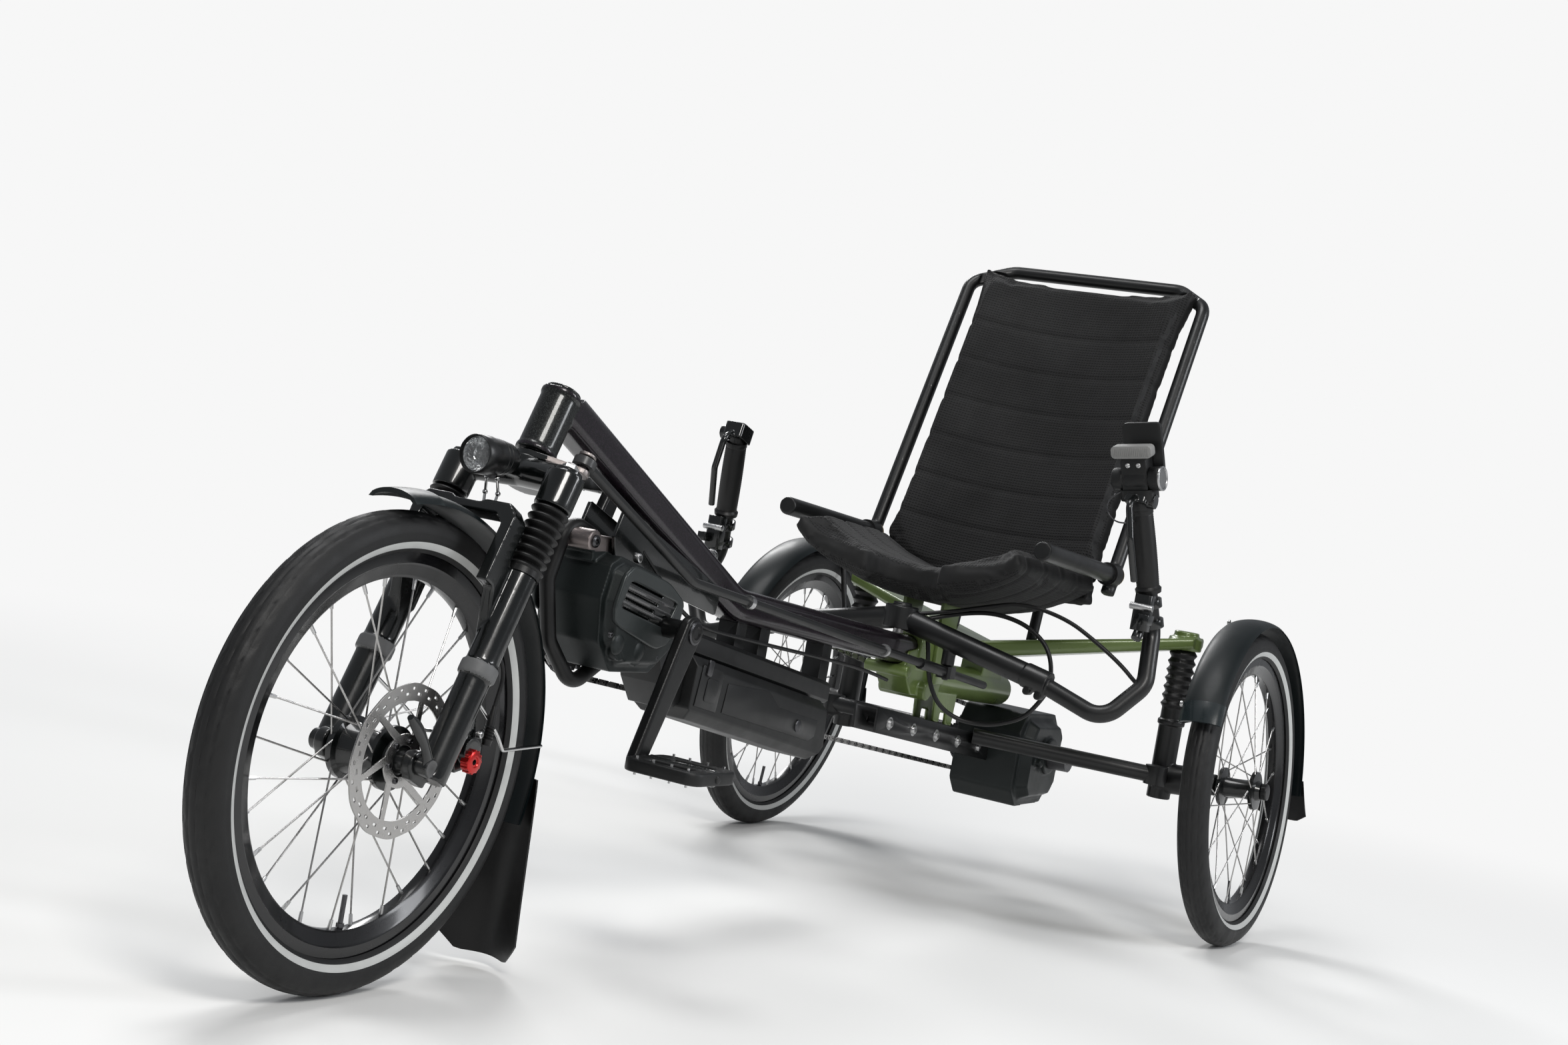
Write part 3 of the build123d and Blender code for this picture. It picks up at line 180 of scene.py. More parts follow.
def mesh_fabric(name, turn):
    """Black spacer mesh: staggered holes in a knit, laid along a pad turned about X."""
    mat = finish(name, (0.0075, 0.0075, 0.008), rough=0.82, shade=0.7, cloud=9.0, sheen=0.03)
    net = Net(mat)
    lay = net.add("Mapping", "Vector", Vector=net.place(), Rotation=(radians(-turn), 0, 0))
    cells = net.nodes.new("ShaderNodeTexVoronoi")
    cells.voronoi_dimensions = "2D"
    net.put(cells, Vector=lay, Scale=210.0, Randomness=0.12)
    hole = net.ramp(cells.outputs["Distance"], 0.22, 0.42, smooth=True)
    net.tinted(hole, (0.002, 0.002, 0.002), over=False)
    net.bump(hole, 0.0012)
    return mat


def brushed(name, colour, rough=0.3, streak=(400.0, 8.0, 8.0)):
    """Bare metal with fine brush lines."""
    mat = finish(name, colour, metallic=1.0, rough=rough, shade=0.7, cloud=20.0)
    net = Net(mat)
    stretch = net.add("Mapping", "Vector", Vector=net.place(), Scale=streak)
    net.bump(net.add("TexNoise", "Fac", Vector=stretch, Scale=12.0, Detail=5.0), 0.0002)
    return mat


GREY_EDGE = (0.16, 0.16, 0.165)
GLOSS = finish("gloss_black_coat", (0.0025, 0.0034, 0.0034), rough=0.26, coat=0.55, coat_rough=0.04,
               worn=GREY_EDGE, worn_from=0.6, grain=0.00003, grain_size=260.0)
FLAKE = flake_finish("dark_flake_paint", (0.005, 0.0032, 0.0052), (0.03, 0.018, 0.03))
HEAD_FLAKE = flake_finish("head_tube_paint", (0.0035, 0.0042, 0.004), (0.04, 0.044, 0.042))
SATIN = finish("satin_black_coat", (0.0035, 0.0038, 0.004), rough=0.4, coat=0.15, coat_rough=0.22,
               worn=GREY_EDGE, worn_from=0.6, grain=0.00005, grain_size=900.0)
GREEN = finish("green_powder_coat", (0.115, 0.165, 0.045), metallic=0.15, rough=0.34, coat=0.55,
               coat_rough=0.14, shade=0.82, worn=(0.3, 0.34, 0.2), worn_from=0.6, grain=0.00005,
               grain_size=520.0)
RUBBER = finish("black_rubber", (0.0038, 0.0038, 0.004), rough=0.44, shade=0.7, grain=0.00006,
                grain_size=800.0)
TYRE = finish("tyre_rubber", (0.0085, 0.0086, 0.009), rough=0.58, shade=0.62, cloud=26.0, grain=0.00014,
              grain_size=640.0, worn=(0.075, 0.073, 0.07), worn_from=0.56)
STRIPE = finish("reflex_stripe", (0.52, 0.53, 0.52), rough=0.38, shade=0.8, cloud=60.0, grain=0.0001,
                grain_size=1500.0)
PLASTIC = finish("moulded_plastic", (0.0052, 0.0056, 0.0058), rough=0.46, grain=0.00008, grain_size=1100.0,
                 worn=(0.05, 0.05, 0.05), worn_from=0.6)
FENDER = finish("fender_plastic", (0.0028, 0.006, 0.007), rough=0.46, coat=0.05, coat_rough=0.2,
                grain=0.00003, grain_size=300.0, specular=0.26, worn=(0.05, 0.06, 0.06), worn_from=0.6)
FENDER_EDGE = finish("fender_edge", (0.012, 0.018, 0.02), rough=0.26, coat=0.4, coat_rough=0.08,
                     grain=0.00003)
MOTOR = finish("motor_casting", (0.013, 0.017, 0.017), metallic=0.3, rough=0.42, grain=0.00012,
               grain_size=1300.0, worn=(0.09, 0.09, 0.1), worn_from=0.6)
PANEL = finish("motor_panel", (0.036, 0.042, 0.042), metallic=0.35, rough=0.34, coat=0.15, grain=0.00006,
               grain_size=1500.0)
CRANK = finish("forged_crank", (0.0036, 0.0038, 0.004), rough=0.36, coat=0.1, coat_rough=0.18,
               worn=(0.1, 0.1, 0.1), worn_from=0.6, grain=0.00004, specular=0.26)
BRONZE = brushed("bronze_alloy", (0.3, 0.27, 0.26), rough=0.34)
CLAMP = brushed("warm_clamp_alloy", (0.33, 0.285, 0.275), rough=0.36)
ALLOY = brushed("silver_alloy", (0.62, 0.62, 0.62), rough=0.28)
STEEL = brushed("bare_steel", (0.5, 0.49, 0.48), rough=0.26, streak=(30.0, 200.0, 30.0))
DARK_STEEL = brushed("dark_steel", (0.1, 0.1, 0.105), rough=0.3)
RIM = finish("rim_anodised", (0.008, 0.008, 0.009), metallic=0.5, rough=0.26, coat=0.5,
             worn=(0.2, 0.2, 0.21), worn_from=0.62, grain=0.00002, grain_size=900.0)
RED = finish("red_anodised", (0.55, 0.02, 0.018), metallic=0.8, rough=0.28, coat=0.3, grain=0.00005)
BRASS = brushed("brass_ring", (0.55, 0.42, 0.22), rough=0.25)
GREY_BAND = finish("grey_clip", (0.13, 0.132, 0.134), rough=0.52, grain=0.0001, grain_size=1200.0)
CHROME = finish("bright_wire", (0.7, 0.7, 0.7), metallic=1.0, rough=0.12, grain=0.00004, grain_size=500.0)
BASE_MESH = mesh_fabric("seat_mesh_base", 0.0)
BACK_MESH = mesh_fabric("seat_mesh_back", BACK_ANGLE)
BINDING = finish("seat_binding", (0.0045, 0.0045, 0.0048), rough=0.68, shade=0.6, cloud=30.0, grain=0.0002,
                 grain_size=1600.0, sheen=0.03)
RIBBED = finish("ribbed_pad", (0.24, 0.24, 0.235), rough=0.55, shade=0.8, cloud=40.0, grain=0.0002,
                grain_size=1400.0)


def lens_glass():
    """Clear glass, a little uneven."""
    mat = finish("lamp_glass", (0.85, 0.88, 0.9), rough=0.06, spread=0.03, grain=0.00012, grain_size=220.0)
    net = Net(mat)
    net.put(net.shader, Transmission_Weight=0.9, IOR=1.45)
    return mat


GLASS = lens_glass()
MIRROR = finish("lamp_mirror", (0.8, 0.8, 0.8), metallic=1.0, rough=0.1, grain=0.0006, grain_size=140.0)
SCREEN = finish("dark_screen", (0.006, 0.007, 0.008), rough=0.1, coat=1.0, coat_rough=0.03, spread=0.04,
                grain=0.00002)


# Making and placing pieces

SHARP = radians(38)
BEVELLED = radians(40)
MERGE = 0.00002


def link(obj):
    SCENE.collection.objects.link(obj)
    return obj


def seat_piece(obj, body, slot, *nodes):
    """Give a piece its body and hide the CAD nodes that it stands for; slot is not used."""
    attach(obj, body)
    if nodes:
        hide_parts(*nodes)
    return obj


def build(name, points, faces, mats, body, slot, *nodes, kinds=None, smooth=True, place=None):
    """A mesh piece from points and faces; kinds gives each face's material."""
    mesh = bpy.data.meshes.new(name)
    mesh.from_pydata(points, [], faces)
    for mat in mats:
        mesh.materials.append(mat)
    if kinds:
        for face, kind in zip(mesh.polygons, kinds):
            face.material_index = kind
    tool = bmesh.new()
    tool.from_mesh(mesh)
    bmesh.ops.recalc_face_normals(tool, faces=tool.faces)
    tool.to_mesh(mesh)
    tool.free()
    if place:
        mesh.transform(place)
    obj = link(bpy.data.objects.new(name, mesh))
    if smooth:
        mesh.polygons.foreach_set("use_smooth", [True] * len(mesh.polygons))
        mesh.set_sharp_from_angle(angle=SHARP)
    return seat_piece(obj, body, slot, *nodes)


def strips(rings, count, closed=True, wrap=False):
    """Faces between rings of points. Closed joins a ring's ends, wrap the last ring to the first."""
    faces = []
    for i in range(rings if wrap else rings - 1):
        one = i * count
        two = (i + 1) % rings * count
        for j in range(count if closed else count - 1):
            k = (j + 1) % count
            faces.append((one + j, one + k, two + k, two + j))
    return faces


def on_circle(radius, turn):
    return radius * cos(turn), radius * sin(turn)


def mirrored(profile):
    """The other half of a profile turned about X, run backwards."""
    return [(-x, r) for x, r in reversed(profile)]


def stand(at, way=(0, 0, 1)):
    """A place whose X axis points along way, for turned shapes."""
    return Matrix.Translation(Vector(at)) @ Vector(way).to_track_quat("X", "Z").to_matrix().to_4x4()


class Heap:
    """Gathers many small shapes into one mesh."""

    def __init__(self):
        self.points = []
        self.faces = []
        self.kinds = []

    def add(self, points, faces, kind=0):
        base = len(self.points)
        self.points += [tuple(p) for p in points]
        self.faces += [tuple(base + i for i in face) for face in faces]
        self.kinds += [kind] * len(faces)

    def lathe(self, profile, place=None, steps=48, kind=0, closed=True):
        """Turn a closed outline of (x, radius) points about X, then place it."""
        place = place or Matrix()
        points = []
        for i in range(steps):
            turn = 2 * pi * i / steps
            points += [place @ Vector((x, *on_circle(r, turn))) for x, r in profile]
        self.add(points, strips(steps, len(profile), closed, wrap=True), kind)

    def turned(self, profile, place=None, steps=48, kind=0):
        """Turn an open line of (x, radius) points."""
        self.lathe(profile, place, steps, kind, closed=False)

    def ring(self, place, inner, outer, length, steps=48, kind=0):
        """A plain collar that runs along X from its place."""
        self.lathe([(0, inner), (0, outer), (length, outer), (length, inner)], place, steps, kind)

    def prism(self, low, high, kind=0):
        """A solid between two outlines."""
        count = len(low)
        ends = [tuple(range(count - 1, -1, -1)), tuple(range(count, 2 * count))]
        self.add(low + high, ends + strips(2, count), kind)

    def pin(self, start, end, radius, kind=0, sides=10, end_radius=None):
        """A round bar between two points."""
        start = Vector(start)
        way = Vector(end) - start
        place = Matrix.Translation(start) @ way.to_track_quat("Z", "Y").to_matrix().to_4x4()
        rings = []
        for height, size in ((0.0, radius), (way.length, end_radius or radius)):
            turns = [2 * pi * i / sides for i in range(sides)]
            rings.append([place @ Vector((*on_circle(size, turn), height)) for turn in turns])
        self.prism(*rings, kind)

    def slab(self, outline, low, high, place, kind=0):
        """A prism of an (a, b) outline, lying in its place's XY plane."""
        self.prism(*([place @ Vector((a, b, height)) for a, b in outline] for height in (low, high)), kind)

    def bolt(self, at, way, radius, height, kind=0):
        """A domed socket screw with its hexagon recess."""
        place = stand(at, way)
        rim = (height, radius * 0.6)
        hole = radius * 0.5
        head = [(-0.001, radius), (height * 0.6, radius), (height * 0.9, radius * 0.85), rim]
        socket = [rim, (height * 0.98, hole), (height * 0.3, hole), (height * 0.3, 0.0)]
        for profile, steps in ((head, 16), (socket, 6), ([rim, (height, hole)], 12)):
            self.turned(profile, place, steps, kind)

    def made(self, name, mats, body, slot, *nodes, place=None, smooth=True, ease=0.0):
        obj = build(name, self.points, self.faces, mats, body, slot, *nodes, kinds=self.kinds,
                    smooth=smooth, place=place)
        if ease:
            modify(obj, "BEVEL", width=ease, segments=2, limit_method="ANGLE", angle_limit=BEVELLED)
            applied(obj)
            obj.data.set_sharp_from_angle(angle=SHARP)
        return obj


def rounded_box(across, along, corner, at=(0.0, 0.0)):
    """An outline of a box whose corners are round."""
    points = []
    for sx, sy, start in ((1, 1, 0), (-1, 1, 90), (-1, -1, 180), (1, -1, 270)):
        for i in range(5):
            x, y = on_circle(corner, radians(start + 22.5 * i))
            points.append((at[0] + sx * (across / 2 - corner) + x, at[1] + sy * (along / 2 - corner) + y))
    return points


def node_centre(node):
    low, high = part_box(node)
    return (low + high) / 2


def modify(obj, kind, **values):
    modifier = obj.modifiers.new(kind.lower(), kind)
    for name, value in values.items():
        setattr(modifier, name, value)


def evaluated_mesh(obj):
    graph = bpy.context.evaluated_depsgraph_get()
    return bpy.data.meshes.new_from_object(obj.evaluated_get(graph))


def applied(obj):
    """The object with its modifiers worked in."""
    mesh = evaluated_mesh(obj)
    obj.modifiers.clear()
    obj.data = mesh
    return obj


def copied(node, name, work=None):
    """A copy of a CAD node with its doubled points merged; work edits it while it is open."""
    mesh = NODES[node].data.copy()
    tool = bmesh.new()
    tool.from_mesh(mesh)
    bmesh.ops.remove_doubles(tool, verts=tool.verts, dist=MERGE)
    if work:
        work(tool)
    tool.to_mesh(mesh)
    tool.free()
    return link(bpy.data.objects.new(name, mesh))


def coated(obj, mats):
    """Give an object its finishes and smooth faces."""
    mesh = obj.data
    mesh.materials.clear()
    for mat in mats:
        mesh.materials.append(mat)
    mesh.polygons.foreach_set("use_smooth", [True] * len(mesh.polygons))


def cast(node, mats, body, slot, voxel=0.0015, soften=4, keep=0.5, pick=None, past=None):
    """A CAD node's shape as a casting: its seams blended and its edges eased.

    Pick gives each face's finish. Beyond an X of past the shape is cut off and closed,
    where another piece stands for it.
    """
    def cut_off(tool):
        parts = tool.verts[:] + tool.edges[:] + tool.faces[:]
        cut = bmesh.ops.bisect_plane(tool, geom=parts, plane_co=(past, 0, 0), plane_no=(1, 0, 0),
                                     clear_outer=True)
        rim = [item for item in cut["geom_cut"] if isinstance(item, bmesh.types.BMEdge)]
        bmesh.ops.holes_fill(tool, edges=rim)

    obj = copied(node, node + "_cast", cut_off if past else None)
    modify(obj, "REMESH", mode="VOXEL", voxel_size=voxel)
    modify(obj, "SMOOTH", factor=0.5, iterations=soften)
    modify(obj, "DECIMATE", ratio=keep)
    applied(obj)
    coated(obj, mats)
    if pick:
        for face in obj.data.polygons:
            face.material_index = pick(face.center)
    return seat_piece(obj, body, slot, node)


def rounded(node, mat, body, slot, width=0.0015):
    """A CAD node's shape with its sharp edges rounded."""
    def dissolve(tool):
        bmesh.ops.dissolve_limit(tool, angle_limit=radians(1.0), verts=tool.verts, edges=tool.edges)

    obj = copied(node, node + "_eased", dissolve)
    modify(obj, "BEVEL", width=width, segments=3, limit_method="ANGLE", angle_limit=BEVELLED)
    applied(obj)
    coated(obj, [mat])
    obj.data.set_sharp_from_angle(angle=radians(35))
    return seat_piece(obj, body, slot, node)


def dress(node, mat):
    """A CAD node that stays, with a better finish."""
    data = NODES[node].data
    if not data.materials:
        data.materials.append(mat)
    for slot in NODES[node].material_slots:
        slot.material = mat


def cable(name, points, radius, mat, body, slot, *nodes):
    """A smooth round line through space."""
    data = bpy.data.curves.new(name, "CURVE")
    data.dimensions = "3D"
    data.bevel_depth = radius
    data.bevel_resolution = 3
    data.resolution_u = 8
    data.use_fill_caps = True
    spline = data.splines.new("NURBS")
    spline.points.add(len(points) - 1)
    for point, at in zip(spline.points, points):
        point.co = (*at, 1)
    spline.order_u = 3
    spline.use_endpoint_u = True
    data.materials.append(mat)
    obj = link(bpy.data.objects.new(name, data))
    return seat_piece(obj, body, slot, *nodes)


# Wheels: each is made about X at the origin, with the outer side at +X

def wheel_place(side):
    """The wheel's frame: -1 right rear, 0 front, 1 left rear."""
    if side == 0:
        return Matrix.Translation(node_centre("front_tyre"))
    lean = radians(CAMBER)
    out = Vector((side * cos(lean), 0, sin(lean)))
    up = Vector((-side * sin(lean), 0, cos(lean)))
    turn = Matrix((out, (0, 1, 0), up)).transposed().to_4x4()
    node = "rear_tyre_left" if side > 0 else "rear_tyre_right"
    return Matrix.Translation(node_centre(node)) @ turn


BEAD_ANGLE = -50.0
STRIPE_FROM = -33.0
STRIPE_TO = -17.0
TYRE_STEPS = 288
TYRE_ROWS = 56
TYRE_INSET = 0.0004
WALL_RING = 0.0005
TREAD_ANGLE = 62.0
TREAD_DEPTH = 0.0011
TREAD_EDGE = 0.86
MIDDLE_GROOVE = (0.16, 0.24)
OUTER_GROOVE = (0.5, 0.58)
BLOCK_STEPS = 6
SPOKE_RADIUS = 0.00105
NIPPLE_LENGTH = 0.011


def tread_depth(step, across):
    """How deep the tread is cut at a step round the tyre and at -1 to 1 across."""
    lane = abs(across)
    if lane <= MIDDLE_GROOVE[0] or lane > TREAD_EDGE:
        return 0.0
    if lane < MIDDLE_GROOVE[1] or OUTER_GROOVE[0] < lane < OUTER_GROOVE[1]:
        return 1.0
    shift = 0 if lane < OUTER_GROOVE[0] else BLOCK_STEPS // 2
    if across < 0:
        shift += BLOCK_STEPS // 2
    slant = int(lane * 4)
    return 1.0 if (step + shift + slant) % BLOCK_STEPS == 0 else 0.0


def make_tyre(side, name, body, node):
    """A slick-shouldered tyre: grooved crown, ringed walls, reflecting stripe near the rim."""
    middle = WHEEL_RADIUS - TYRE_HALF
    angles = [BEAD_ANGLE + (180 - 2 * BEAD_ANGLE) * i / TYRE_ROWS for i in range(TYRE_ROWS + 1)]
    rows = []
    for angle in angles:
        turn = radians(angle)
        from_wall = min(abs(angle), abs(180 - angle))
        ring = WALL_RING if from_wall < 3 or 20 < from_wall < 23 else 0.0
        x = (TYRE_HALF - ring) * cos(turn)
        r = middle + (TYRE_HALF - TYRE_INSET) * sin(turn)
        rows.append((x, r, turn, (angle - 90) / TREAD_ANGLE))
    for x in (-RIM_HALF + 0.003, RIM_HALF - 0.003):
        rows.append((x, RIM_RADIUS + 0.0022, radians(270), 2.0))
    angles += [BEAD_ANGLE, BEAD_ANGLE]
    points = []
    for step in range(TYRE_STEPS):
        spin = 2 * pi * step / TYRE_STEPS
        for x, r, turn, across in rows:
            cut = TREAD_DEPTH * tread_depth(step, across) if abs(across) <= 1 else 0.0
            points.append((x - cut * cos(turn), *on_circle(r - cut * sin(turn), spin)))
    count = len(rows)
    kinds = []
    for j in range(count):
        angle = (angles[j] + angles[(j + 1) % count]) / 2
        striped = STRIPE_FROM < angle < STRIPE_TO or 180 - STRIPE_TO < angle < 180 - STRIPE_FROM
        kinds.append(1 if striped and j < count - 3 else 0)
    heap = Heap()
    heap.add(points, strips(TYRE_STEPS, count, wrap=True))
    heap.kinds = kinds * TYRE_STEPS
    obj = heap.made(name, [TYRE, STRIPE], body, "tyre", node, place=wheel_place(side))
    obj.data.set_sharp_from_angle(angle=radians(50))


def make_rim(side, name, body, node):
    """Box-section rim with a rolled hook each side, its valve and joint."""
    heap = Heap()
    half = [(RIM_HALF - 0.003, RIM_RADIUS - 0.001), (RIM_HALF - 0.0016, RIM_RADIUS + 0.0016),
            (RIM_HALF, RIM_RADIUS + 0.0008), (RIM_HALF + 0.0002, RIM_RADIUS - 0.004),
            (RIM_HALF, RIM_RADIUS - 0.011), (RIM_HALF - 0.0022, RIM_RADIUS - 0.0135),
            (0.009, RIM_FLOOR + 0.004), (0.0065, RIM_FLOOR + 0.0008), (0.003, RIM_FLOOR)]
    heap.lathe(half + mirrored(half), steps=144)
    heap.pin((0, 0, -RIM_FLOOR - 0.001), (0, 0, -RIM_FLOOR + 0.034), 0.0027, kind=1)
    heap.pin((0, 0, -RIM_FLOOR + 0.001), (0, 0, -RIM_FLOOR + 0.005), 0.0045, kind=1, sides=6)
    return heap.made(name, [RIM, DARK_STEEL], body, "rim_black", node, place=wheel_place(side))


def make_spokes(side, name, body, flange_x, flange_radius):
    """Crossed spokes with their bent heads and nipples."""
    heap = Heap()
    head = RIM_FLOOR + 0.0005
    for hub_side in (-1, 1):
        for i in range(SPOKES_PER_SIDE):
            turn = 360.0 / SPOKES_PER_SIDE * (i + 0.25 * hub_side)
            sign = 1 if i % 2 else -1
            foot = Vector((hub_side * (flange_x + sign * 0.002),
                           *on_circle(flange_radius, radians(turn + sign * SPOKE_LEAN))))
            rise = Vector((hub_side * 0.003, *on_circle(head, radians(turn))))
            way = (rise - foot).normalized()
            heap.pin(foot, rise, SPOKE_RADIUS, sides=8)
            heap.pin(rise - way * NIPPLE_LENGTH, rise, 0.0019, kind=1, sides=8, end_radius=0.0023)
            out = Vector((sign * hub_side, 0, 0))
            heap.pin(foot - out * 0.0045, foot, 0.0011, sides=8)
            heap.pin(foot - out * 0.0052, foot - out * 0.004, 0.0022)
    heap.made(name, [STEEL, ALLOY], body, "steel", place=wheel_place(side))


def make_front_hub():
    heap = Heap()
    heap.lathe([(-0.0495, 0.0063), (-0.0495, 0.011), (-0.047, 0.012), (-0.041, 0.0125), (-0.0385, 0.015),
                (-0.0325, 0.029), (-0.0305, 0.0335), (-0.0235, 0.0335), (-0.0215, 0.028), (-0.012, 0.0245),
                (0.004, 0.0235), (0.016, 0.02), (0.0235, 0.021), (0.024, 0.0335), (0.03, 0.0335),
                (0.0315, 0.0205), (0.0392, 0.019), (0.0398, 0.013), (0.0495, 0.01), (0.0495, 0.0063)],
               steps=72)
    for i in range(6):
        heap.bolt((0.042, *on_circle(0.021, radians(60 * i + 12))), (1, 0, 0), 0.0033, 0.0022, kind=1)
    heap.made("front_hub_shell", [GLOSS, DARK_STEEL], "front_wheel", "rim_black", place=wheel_place(0))


def make_rear_hub(side, name, body):
    heap = Heap()
    half = [(-0.0365, 0.0083), (-0.0365, 0.0135), (-0.03, 0.0165), (-0.0292, 0.03), (-0.023, 0.0305),
            (-0.0205, 0.0165), (-0.01, 0.015)]
    heap.lathe(half + mirrored(half), steps=64)
    heap.made(name, [GLOSS], body, "rim_black", place=wheel_place(side))


def curve_plate(name, outlines, thick, place, mat, body, slot, *nodes, bevel=0.0002):
    """A flat plate whose first outline is its edge and the rest are its holes."""
    data = bpy.data.curves.new(name, "CURVE")
    data.dimensions = "2D"
    data.fill_mode = "BOTH"
    data.extrude = thick / 2 - bevel
    data.bevel_depth = bevel
    data.bevel_resolution = 1
    for outline in outlines:
        spline = data.splines.new("POLY")
        spline.points.add(len(outline) - 1)
        for point, (a, b) in zip(spline.points, outline):
            point.co = (a, b, 0, 1)
        spline.use_cyclic_u = True
    holder = link(bpy.data.objects.new(name + "_curve", data))
    mesh = evaluated_mesh(holder)
    bpy.data.objects.remove(holder)
    mesh.name = name
    mesh.transform(place)
    mesh.materials.append(mat)
    return seat_piece(link(bpy.data.objects.new(name, mesh)), body, slot, *nodes)


def ring_points(radius, steps, wave=0.0, lobes=12):
    """A circle, or one whose radius waves in and out."""
    turns = [2 * pi * i / steps for i in range(steps)]
    return [on_circle(radius + wave * cos(lobes * turn), turn) for turn in turns]


def arc_points(radius, start, end):
    """Seven points from one angle to another."""
    return [on_circle(radius, radians(start + (end - start) * k / 6)) for k in range(7)]


def slot_points(radius, angle, span, half):
    """A curved slot round the middle, as long as span degrees."""
    ends = (angle - span / 2, angle + span / 2)
    return arc_points(radius + half, *ends) + arc_points(radius - half, *reversed(ends))


def make_disc():
    """Brake rotor: a wavy band drilled all round, on swept arms."""
    outlines = [ring_points(0.0795, 144, 0.0005)]
    for i in range(6):
        inner = arc_points(0.028, 60 * i + 8, 60 * i + 50)
        outlines.append(inner + arc_points(0.062, 60 * i + 72, 60 * i + 18))
    for i in range(24):
        outlines.append(slot_points(0.0745, 15 * i, 4.0, 0.0016))
        outlines.append(slot_points(0.069, 15 * i + 7.5, 5.0, 0.0016))
    outlines.append(ring_points(0.0165, 32))
    turn = Matrix(((0, 0, 1), (1, 0, 0), (0, 1, 0))).to_4x4()
    place = wheel_place(0) @ Matrix.Translation((node_centre("front_brake_disc").x, 0, 0)) @ turn
    curve_plate("front_rotor", outlines, 0.0019, place, STEEL, "front_wheel", "steel", "front_brake_disc")


def make_wheels():
    make_tyre(0, "front_tyre_tread", "front_wheel", "front_tyre")
    make_rim(0, "front_rim", "front_wheel", "front_wheel")
    make_spokes(0, "front_spokes", "front_wheel", 0.027, 0.03)
    make_front_hub()
    make_disc()
    for side, word in ((1, "left"), (-1, "right")):
        body = "rear_wheel_" + word
        make_tyre(side, "rear_tread_" + word, body, "rear_tyre_" + word)
        make_rim(side, "rear_rim_" + word, body, "rear_wheel_" + word)
        make_spokes(side, "rear_spokes_" + word, body, 0.026, 0.027)
        make_rear_hub(side, "rear_hub_" + word, body)


# Fenders

FENDER_STEP = 1.5
CROWN_POWER = 0.62


def make_band(heap, half, start, end, place, grow=0.0, kind=0):
    """A crowned fender with rolled edges, from one angle to another."""
    count = 14
    wall = FENDER_WALL + grow
    outline = []
    for way, inset in ((1, 0.0), (-1, wall)):
        for i in range(count + 1):
            a = way * (-1 + 2 * i / count)
            rise = (FENDER_TOP + grow - inset - FENDER_FOOT) * (1 - a * a) ** CROWN_POWER
            outline.append(((half + grow - inset) * a, FENDER_FOOT + rise))
    steps = max(2, int((end - start) / FENDER_STEP))
    points = []
    for i in range(steps + 1):
        turn = radians(start + (end - start) * i / steps)
        points += [place @ Vector((x, *on_circle(r, turn))) for x, r in outline]
    size = len(outline)
    faces = strips(steps + 1, size)
    for base in (0, steps * size):
        for j in range(count):
            faces.append((base + j, base + j + 1, base + size - 2 - j, base + size - 1 - j))
    heap.add(points, faces, kind)


def make_flap(heap, place, head, foot, head_half, foot_half, head_bow, foot_bow, cut):
    """A soft flap bowed round its wheel: head and foot are (back, up) from the axle."""
    rows = 28
    columns = 16
    thick = 0.0022
    points = []
    for face in (0, 1):
        for i in range(rows + 1):
            t = i / rows
            half = head_half + (foot_half - head_half) * t ** 0.9
            bow = head_bow + (foot_bow - head_bow) * t
            for j in range(columns + 1):
                a = -1 + 2 * j / columns
                lift = cut * max(0.0, abs(a) - 0.6) / 0.4 * t ** 3
                wave = 0.0016 * sin(5.0 * a + 2.0 * t) * t
                y = head[0] + (foot[0] - head[0]) * t - bow * abs(a) ** 1.9 + wave - face * thick
                z = head[1] + (foot[1] - head[1]) * t + lift
                points.append(place @ Vector(((half - 0.3 * face * thick) * a, y, z)))
    wide = columns + 1
    sheet = (rows + 1) * wide
    faces = []
    for i in range(rows):
        for j in range(columns):
            a = i * wide + j
            faces.append((a, a + 1, a + 1 + wide, a + wide))
            b = a + sheet
            faces.append((b, b + wide, b + 1 + wide, b + 1))
    edge = list(range(wide))
    edge += [i * wide + columns for i in range(1, rows + 1)]
    edge += [rows * wide + j for j in range(columns - 1, -1, -1)]
    edge += [i * wide for i in range(rows - 1, 0, -1)]
    for a, b in zip(edge, edge[1:] + edge[:1]):
        faces.append((a, a + sheet, b + sheet, b))
    heap.add(points, faces)


def make_front_flap():
    heap = Heap()
    centre = Matrix.Translation(AXLE_AT)
    make_flap(heap, centre, (0.2735, -0.03), (0.27, -0.236), 0.0305, 0.058, 0.009, 0.034, 0.026)
    heap.made("front_flap_sheet", [RUBBER], "fork", "black_rubber", "front_mud_flap")
    rivets = Heap()
    for x in (-0.013, 0.013):
        rivets.bolt(AXLE_AT + Vector((x, 0.272, -0.04)), (0, 1, 0), 0.0042, 0.0028)
    rivets.made("front_flap_rivets", [ALLOY], "fork", "steel")


# Fork

AXLE_AT = node_centre("front_tyre")
SLANT = radians(HEAD_ANGLE)
UP_HEAD = Vector((0, cos(SLANT), sin(SLANT)))
BACK_HEAD = Vector((0, sin(SLANT), -cos(SLANT)))
FORK_AT = AXLE_AT + BACK_HEAD * 0.0182
FORK = Matrix.Translation(FORK_AT) @ Matrix(((1, 0, 0), BACK_HEAD, UP_HEAD)).transposed().to_4x4()
FROM_FORK = FORK.inverted()
LEG_X = 0.068
SLEEVE_TOP = 0.349
SLEEVE_BASE = 0.308
LOWER_TOP = 0.231
BAND_LOW = 0.1075
BAND_HIGH = 0.1235
PLATE_X = 0.026
LEVER_SIDES = 16
FOLD_STEPS = 8


